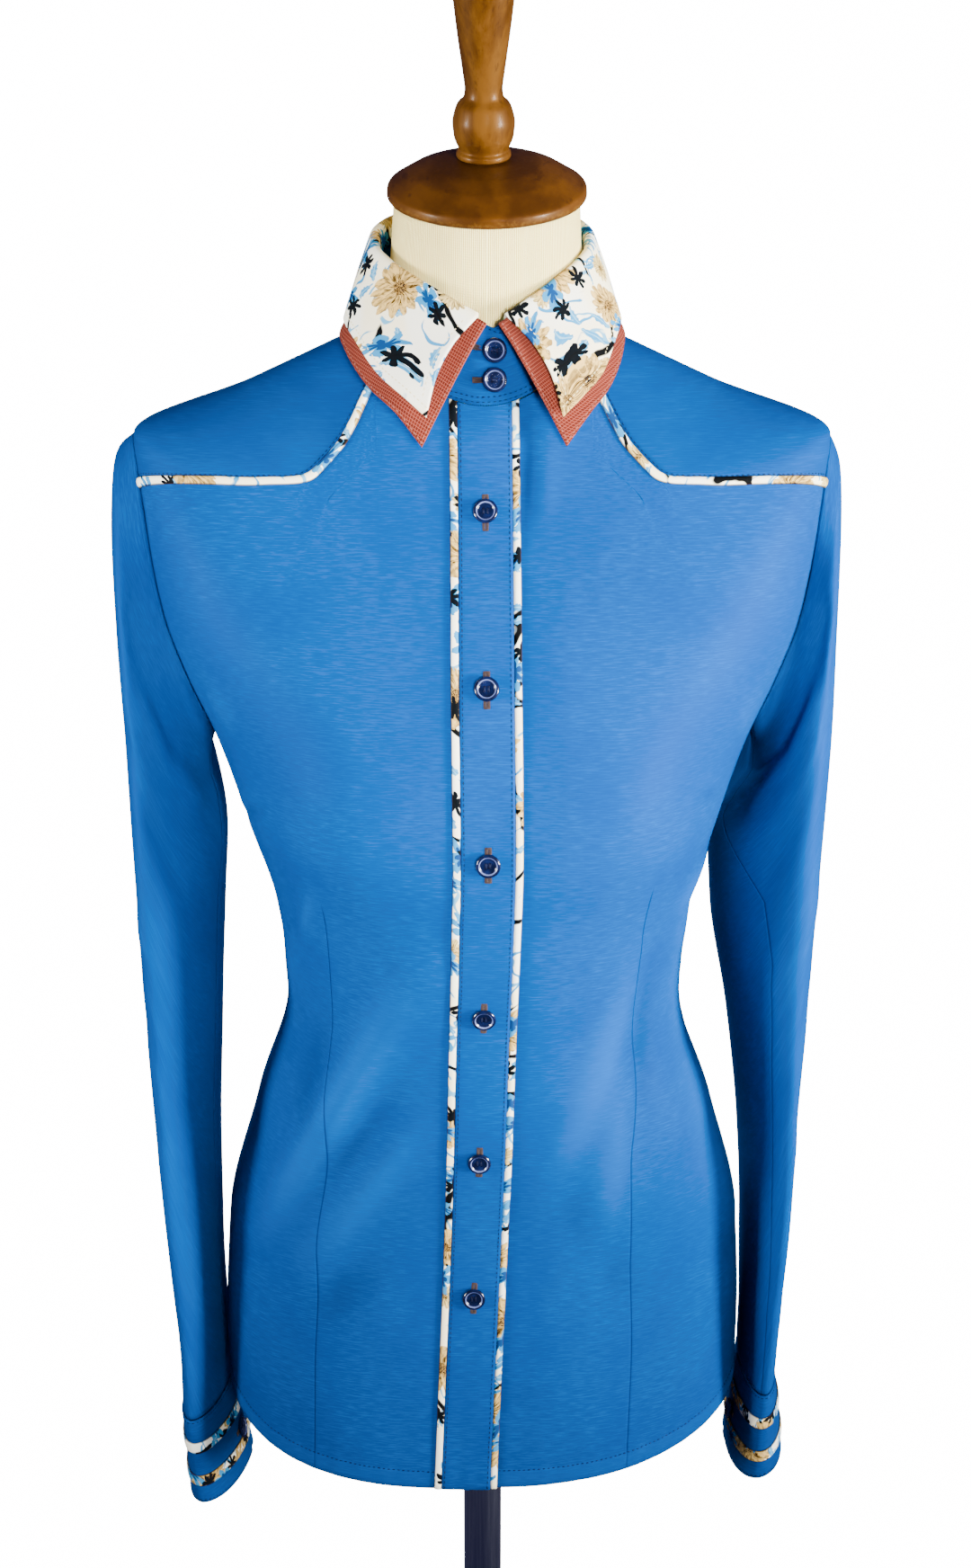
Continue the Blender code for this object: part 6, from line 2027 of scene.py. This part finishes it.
        # The stand wears the darker copy of the shirting too: painted shade under the collar.
        self.model.cloth("collar_stand", "collar_stand", "satin_shirting_yoke", points, wall=CLOTH.shirting)
        for edge, inset in (("first_row", STITCH.from_edge), ("first_row", self.stand_second_row),
                            ("last_row", STITCH.from_edge), ("last_column", STITCH.from_edge)):
            self.seamstress.edge("stand_stitching", points, facing, edge, inset, face)
        middle = sum(counts[:control.shape[1] - len(self.stand_outer_end)])
        for share in PLACKET.stand_shares:
            row = int(round(share * (len(points) - 1)))
            across = points[row, middle + 2] - points[row, middle - 2]
            self.seats.append((points[row, middle] + facing[row, middle] * face, facing[row, middle],
                               unit(across)))


# ------------------------------------------------------------------------------------------------- buttons

@dataclass
class Buttons:
    """Four-hole buttons, their threads and their buttonholes, in millimetres."""

    model: Model
    seamstress: Seamstress

    # Turned profile: radius, and height above the foot
    profile: tuple = ((0.0, 1.75), (3.7, 1.75), (4.3, 1.95), (4.9, 2.75), (5.5, 3.05), (6.1, 2.95),
                      (6.6, 2.45), (6.75, 1.95), (6.45, 1.2), (5.4, 0.25), (4.6, 0.0), (0.0, 0.0))
    bevel: float = 0.25
    sides: int = 40

    # The pale line of painted highlight on the rim, and the height above which it shows
    crest_radius: float = 4.8
    crest_width: float = 0.25
    crest_height: float = 1.9

    # The four holes
    hole_radius: float = 0.75
    hole_from_middle: float = 1.55

    # How far the thread holds a button off the cloth, and the thread's lie across the holes
    shank: float = 0.5
    thread_height: float = 1.95
    thread_pitch: float = 0.28
    thread: float = 0.17

    def __post_init__(self) -> None:
        """Turn and drill the one button that every place gets."""
        self.points, self.faces = self.blank()

    def loose(self, name: str, profile: Grid, sides: int, seat: Grid) -> bpy.types.Object:
        """An upright turned shape for the drilling."""
        points, _ = lathe_points(profile, sides, seat, UPRIGHT)
        shape = bpy.data.objects.new(name, quad_mesh(name, points, closed=True, pull=True))
        bpy.context.scene.collection.objects.link(shape)
        return shape

    def blank(self) -> tuple[Grid, list]:
        """One button, turned from its profile and drilled four times, facing +Z."""
        blank = self.loose("button_blank", rounded_profile(self.profile, self.bevel, 3), self.sides,
                           np.zeros(3))
        rod = np.array(((0.0, 5.0), (self.hole_radius, 5.0), (self.hole_radius, -1.0), (0.0, -1.0)))
        drills = []
        for turn in np.radians((45.0, 135.0, 225.0, 315.0)):
            centre = self.hole_from_middle * np.array([math.cos(turn), math.sin(turn), 0.0])
            drills.append(self.loose("button_drill", rod, 14, centre))
            cut = blank.modifiers.new("hole", "BOOLEAN")
            cut.operation = "DIFFERENCE"
            cut.solver = "EXACT"
            cut.object = drills[-1]
        found = bpy.data.meshes.new_from_object(blank.evaluated_get(bpy.context.evaluated_depsgraph_get()))
        points = np.zeros(len(found.vertices) * 3, np.float32)
        found.vertices.foreach_get("co", points)
        faces = [list(face.vertices) for face in found.polygons]
        for extra in drills + [blank]:
            bpy.data.objects.remove(extra, do_unlink=True)
        return points.reshape(-1, 3) / MM, faces

    def sew_on(self, name: str, seat: Grid, outward: Grid, along: Grid) -> None:
        """Place one button with its thread.

        Args:
            name: the CAD node that it stands for.
            seat: the point of the cloth's face under its middle.
            outward: the cloth's normal there.
            along: a direction in the cloth that its holes line up with.
        """
        along = unit(along - outward * float(np.dot(along, outward)))
        frame = np.stack([along, np.cross(outward, along), outward], axis=0)
        foot = seat + outward * self.shank
        mesh = bpy.data.meshes.new(name + "_resin")
        mesh.from_pydata(((foot + self.points @ frame) * MM).tolist(), [], self.faces)
        mesh.update()
        mesh.shade_smooth()
        mesh.set_sharp_from_angle(angle=math.radians(40.0))
        # A ring of painted highlight along the crest of the rim, above the crest height.
        from_crest = np.hypot(self.points[:, 0], self.points[:, 1]) - self.crest_radius
        crest = np.exp(-(from_crest / self.crest_width) ** 2) * (self.points[:, 2] > self.crest_height)
        painted_rim_highlight = mesh.attributes.new("painted_rim_highlight", "FLOAT", "POINT")
        painted_rim_highlight.data.foreach_set("value", crest.astype(np.float32))
        self.model.add(mesh, "navy_resin", (name,))
        near = self.hole_from_middle * math.sqrt(0.5)
        for row in (-near, near):
            offsets = np.array([[0.0, row + shift * self.thread_pitch, self.thread_height]
                                for shift in (-1.0, 0.0, 1.0)])
            self.seamstress.sew("button_threads", foot + offsets @ frame, along, outward, 2.9 * near,
                                self.thread, 0.25)
        stem = foot + np.array([[x, y, -0.2] for x in (-near, near) for y in (-near, near)]) @ frame
        self.seamstress.sew("button_threads", stem, outward, along, 1.4, 0.6, 0.6)

    def placket(self) -> None:
        """The buttons down the placket, over upright buttonholes."""
        for count in range(PLACKET.buttons):
            down = PLACKET.first_button + count * PLACKET.button_spacing
            ring = np.array([down - 1.0, down, down + 1.0])
            line = TORSO.at(0.0, ring)
            across = TORSO.at(0.02, down) - TORSO.at(-0.02, down)
            along = unit(line[2] - line[0])
            outward = unit(np.cross(along, across))
            outward *= -1.0 if outward[1] > 0.0 else 1.0
            lift = float(TORSO.relief(line[1], np.array(down))) + CLOTH.layer + CLOTH.face
            seat = line[1] + outward * lift
            self.sew_on("button_placket_%d" % (count + 1), seat, outward, along)
            self.seamstress.buttonhole(seat + along * 0.4, along, outward, PLACKET.upright_hole)

    def collar(self, collar: Collar) -> None:
        """The stand's two buttons, over level buttonholes that run on past them."""
        for count, (seat, outward, across) in enumerate(collar.seats):
            self.sew_on("button_stand_%d" % (count + 1), seat, outward, across)
            self.seamstress.buttonhole(seat - across * 3.4, across, outward, PLACKET.level_hole)

    def cuffs(self, sleeves: Sleeves) -> None:
        """One button on each cuff, over a level buttonhole."""
        for side, (seat, outward, along) in sleeves.seats.items():
            self.sew_on("button_cuff_" + side.label, seat, outward, along)
            self.seamstress.buttonhole(seat, np.cross(outward, unit(along)), outward, PLACKET.level_hole)


# ---------------------------------------------------------------------------------------------- dress form

@dataclass
class DressForm:
    """The padded body and neck in one jersey cover, the turned cap and finial, the pole and the base."""

    model: Model
    around: int = 128
    spacing: float = 7.0
    turned_sides: int = 96

    # Turned profiles, from the top down: radius, and height above the piece's own foot
    cap_profile: tuple = ((0.0, 21.0), (16.0, 20.4), (30.0, 18.2), (42.0, 14.0), (50.6, 8.6), (55.0, 6.0),
                          (55.4, 1.4), (54.4, 0.0), (0.0, 0.0))
    finial_profile: tuple = ((0.0, 112.0), (9.0, 111.0), (14.5, 107.0), (17.2, 97.0), (16.5, 85.0),
                             (14.2, 66.0), (11.8, 49.0), (10.1, 37.0), (10.8, 32.0), (14.6, 29.0),
                             (17.3, 20.0), (16.2, 10.5), (13.4, 4.8), (15.0, 3.0), (15.0, 0.0), (0.0, 0.0))

    # How far the form lies inside the shirt: more at the front, and by distance down
    front_inset: float = 2.2
    inset_rows: tuple = ((0.0, 5.0), (10.0, 2.4), (30.0, 1.6), (50.0, 2.5), (60.0, 4.2), (110.0, 4.2),
                         (208.0, 5.0), (366.0, 8.5), (520.0, 7.0), (659.0, 7.5))

    # The body's rings, by distance down, its underside, and the height of its middle
    lines: tuple = (0.0, 10.0, 20.0, 30.0, 40.0, 50.0, 60.0, 80.0, 100.0, 124.0, 150.0, 180.0, 208.0,
                    250.0, 300.0, 350.0, 404.0, 460.0, 520.0, 575.0)
    underside_z: float = 738.0
    middle_z: float = 1150.0

    # The neck's tilted top
    neck_x: float = 2.8
    neck_top_y: float = -7.0
    neck_radius: float = 51.5
    neck_top_z: float = 1459.5

    # How its rings rise towards the top, and how fast they narrow in x, y and z
    neck_rise: tuple = (0.10, 0.28, 0.62, 1.0)
    neck_flare: tuple = (0.36, 0.36, 1.0)

    # The cap leans forwards, and the finial stands a little off its middle
    cap_tilt: float = math.radians(19.7)
    finial_shift: float = -1.8

    # The pole under the body, with its flange, and the base
    pole_radius: float = 12.5
    flange_radius: float = 34.0
    flange_thickness: float = 5.0
    base_profile: tuple = ((0.0, 44.0), (22.0, 44.0), (28.0, 40.0), (31.0, 29.0), (150.0, 24.0),
                           (182.0, 19.0), (190.0, 8.0), (189.0, 0.0), (0.0, 0.0))

    # Between two pieces that rest on each other
    rest_gap: float = 0.3

    def build(self) -> None:
        """Make every piece of the form."""
        self.body()
        tilt = np.array([0.0, -math.sin(self.cap_tilt), math.cos(self.cap_tilt)])
        seat = np.array([self.neck_x, self.neck_top_y, self.neck_top_z]) + tilt * self.rest_gap
        self.turned("form_cap_wood", "form_cap", self.cap_profile, 1.6, seat, tilt, "turned_cap_wood")
        seat = seat + tilt * (self.cap_profile[0][1] + self.rest_gap)
        seat = seat + np.array([self.finial_shift, 0.0, 0.0])
        self.turned("form_finial_wood", "form_finial", self.finial_profile, 3.0, seat, tilt,
                    "turned_finial_wood")
        foot, top = self.base_profile[0][1] + self.rest_gap, self.underside_z - self.rest_gap
        pole = ((0.0, top), (self.flange_radius, top), (self.flange_radius, top - self.flange_thickness),
                (self.pole_radius, top - self.flange_thickness), (self.pole_radius, foot), (0.0, foot))
        self.turned("form_pole_steel", "form_pole", pole, 0.8, np.zeros(3), UPRIGHT, "satin_steel")
        self.turned("form_base_wood", "form_base", self.base_profile, 3.0, np.zeros(3), UPRIGHT,
                    "turned_base_wood")

    def turned(self, name: str, node: str, profile: tuple, bevel: float, seat: Grid, axis: Grid,
               material: str) -> None:
        """A turned piece in place of its CAD node, with its radius kept for the material."""
        points, radius = lathe_points(rounded_profile(profile, bevel), self.turned_sides, seat, axis)
        mesh = quad_mesh(name, points, closed=True, marks={"radius": radius * MM}, pull=True)
        self.model.add(mesh, material, (node,))

    def body(self) -> None:
        """The jersey-covered body: torso rings inside the shirt, then rings up the neck to the cap."""
        angle = np.linspace(0.0, 2.0 * math.pi, self.around, endpoint=False)
        counts = divisions(np.diff(self.lines), self.spacing)
        lines = np.interp(fine_stations(counts), np.arange(len(self.lines)), self.lines)[::-1]
        grid = TORSO.at(angle[None, :], lines[:, None], folded=False)
        table = np.array(self.inset_rows)
        inset = monotone(table[:, 0], table[:, 1], lines)
        middle = np.array([0.0, 0.0, self.middle_z])
        facing = outward_normals(grid, grid - middle, closed=True)
        front = self.front_inset * np.clip(np.cos(angle), 0.0, 1.0) ** 2
        grid = grid - facing * (inset[:, None] + front[None, :])[..., None]
        under = grid[:1].copy()
        under[..., 2] = self.underside_z
        hub = under.copy()
        hub[..., :2] = 0.0
        sideways, forwards = self.neck_radius * np.sin(angle), self.neck_radius * np.cos(angle)
        ring = np.stack([self.neck_x + sideways, self.neck_top_y - math.cos(self.cap_tilt) * forwards,
                         self.neck_top_z - math.sin(self.cap_tilt) * forwards], axis=-1)[None]
        rise = monotone(np.arange(len(self.neck_rise) + 1), (0.0,) + self.neck_rise,
                        np.linspace(0.25, 4.0, 28))
        narrow = np.power(rise[:, None, None], np.array(self.neck_flare))
        neck = grid[-1:] * (1.0 - narrow) + ring * narrow
        lid = neck[-1:].copy()
        lid[:] = neck[-1].mean(axis=0)
        points = np.concatenate([hub, under, grid, neck, lid], axis=0)
        down = np.concatenate([[0.0], np.cumsum(np.linalg.norm(np.diff(points[:, 0], axis=0), axis=-1))])
        turn = np.append(angle, 2.0 * math.pi)
        uv = np.stack(np.broadcast_arrays(turn[None, :] * 55.0, down[:, None]), axis=-1) * MM
        mesh = quad_mesh("form_body_jersey", points, closed=True, uv=uv, pull=True)
        self.model.add(mesh, "ribbed_jersey", ("form_body",))


# -------------------------------------------------------------------------------------------------- studio

@dataclass(frozen=True)
class Lamp:
    """A soft box: its place and target in metres, its two sides and its power in watts.

    A grid over its front narrows its light to the spread, in degrees. A lamp that isn't mirrored lights the
    cloth but leaves no image of itself in polished pieces.
    """

    name: str
    place: tuple[float, float, float]
    target: tuple[float, float, float]
    size: tuple[float, float]
    power: float
    spread: float
    mirrored: bool = True


LAMPS = (
    Lamp("right_softbox", (2.0, -0.95, 1.22), (0.14, 0.0, 1.20), (0.5, 0.6), 16.0, 42.0),
    Lamp("left_softbox", (-2.0, -0.9, 1.22), (-0.14, 0.0, 1.22), (0.5, 0.6), 7.0, 42.0),
    Lamp("front_softbox", (0.45, -1.95, 1.36), (0.0, 0.0, 1.25), (0.45, 0.45), 7.0, 40.0, mirrored=False),
    Lamp("back_softbox", (-0.6, 2.3, 1.60), (0.0, 0.0, 1.20), (0.6, 0.8), 13.0, 50.0, mirrored=False),
)


@dataclass
class Studio:
    """Pale paper floor and backdrop, soft boxes and the camera."""

    model: Model
    camera_place: tuple[float, float, float] = (0.002, -1.147, 1.443)
    camera_pitch: float = 15.73
    sensor: float = 36.0
    lens: float = 45.41284403669725
    paper_radius: float = 4600.0
    paper_height: float = 6000.0
    paper_curve: float = 1200.0
    air: tuple[str, float] = ("#8f8fff", 0.10)

    def build(self) -> None:
        """Put the floor, the lamps and the camera in place."""
        self.paper()
        for lamp in LAMPS:
            self.lamp(lamp)
        world = bpy.data.worlds.new("studio_air")
        world.use_nodes = True
        air = world.node_tree.nodes["Background"]
        air.inputs["Color"].default_value = linear(self.air[0])
        air.inputs["Strength"].default_value = self.air[1]
        bpy.context.scene.world = world
        self.camera()

    def paper(self) -> None:
        """A round paper sweep: the floor runs out level and curves up into a wall on every side.

        It only gives the picture its pale ground. The soft boxes alone light the object, so the paper
        throws no light back at it and no shadow on it.
        """
        profile = ((self.paper_radius, self.paper_height), (self.paper_radius, 0.0), (0.0, 0.0))
        seat = np.array([0.0, 0.0, -0.4])
        points, _ = lathe_points(rounded_profile(profile, self.paper_curve, 17), 72, seat, UPRIGHT)
        paper = bpy.data.objects.new("paper_sweep", quad_mesh("paper_sweep", points, closed=True))
        paper.data.materials.append(self.model.materials["background_paper"])
        paper.visible_diffuse = False
        paper.visible_glossy = False
        paper.visible_shadow = False
        bpy.context.scene.collection.objects.link(paper)

    def lamp(self, lamp: Lamp) -> None:
        """One rectangular soft box, aimed at its target."""
        light = bpy.data.lights.new(lamp.name, "AREA")
        light.shape = "RECTANGLE"
        light.size, light.size_y = lamp.size
        light.energy = lamp.power
        light.spread = math.radians(lamp.spread)
        holder = bpy.data.objects.new(lamp.name, light)
        way = Vector(lamp.target) - Vector(lamp.place)
        holder.visible_glossy = lamp.mirrored
        aimed = way.to_track_quat("-Z", "Y").to_matrix().to_4x4()
        holder.matrix_world = Matrix.Translation(lamp.place) @ aimed
        bpy.context.scene.collection.objects.link(holder)

    def camera(self) -> None:
        """The camera, a little above the collar, looking down at the shirt."""
        lens = bpy.data.cameras.new("camera")
        lens.sensor_fit = "VERTICAL"
        lens.sensor_height = self.sensor
        lens.lens = self.lens
        lens.clip_start = 0.05
        camera = bpy.data.objects.new("camera", lens)
        camera.location = self.camera_place
        camera.rotation_euler = (math.radians(90.0 - self.camera_pitch), 0.0, 0.0)
        bpy.context.scene.collection.objects.link(camera)
        bpy.context.scene.camera = camera


# ---------------------------------------------------------------------------------------------------- main


def main() -> None:
    logging.basicConfig(level=logging.INFO, format="%(message)s")
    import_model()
    model = Model()
    model.materials = Mill().weave_all()
    seamstress = Seamstress(model)

    DressForm(model).build()
    Bodice(model, seamstress).build()
    sleeves = Sleeves(model, seamstress)
    sleeves.build()
    collar = Collar(model, seamstress)
    collar.build()
    buttons = Buttons(model, seamstress)
    buttons.placket()
    buttons.collar(collar)
    buttons.cuffs(sleeves)
    for name, material in THREADS.items():
        seamstress.finish(name, material)
    Studio(model).build()


if __name__ == "__main__":
    main()
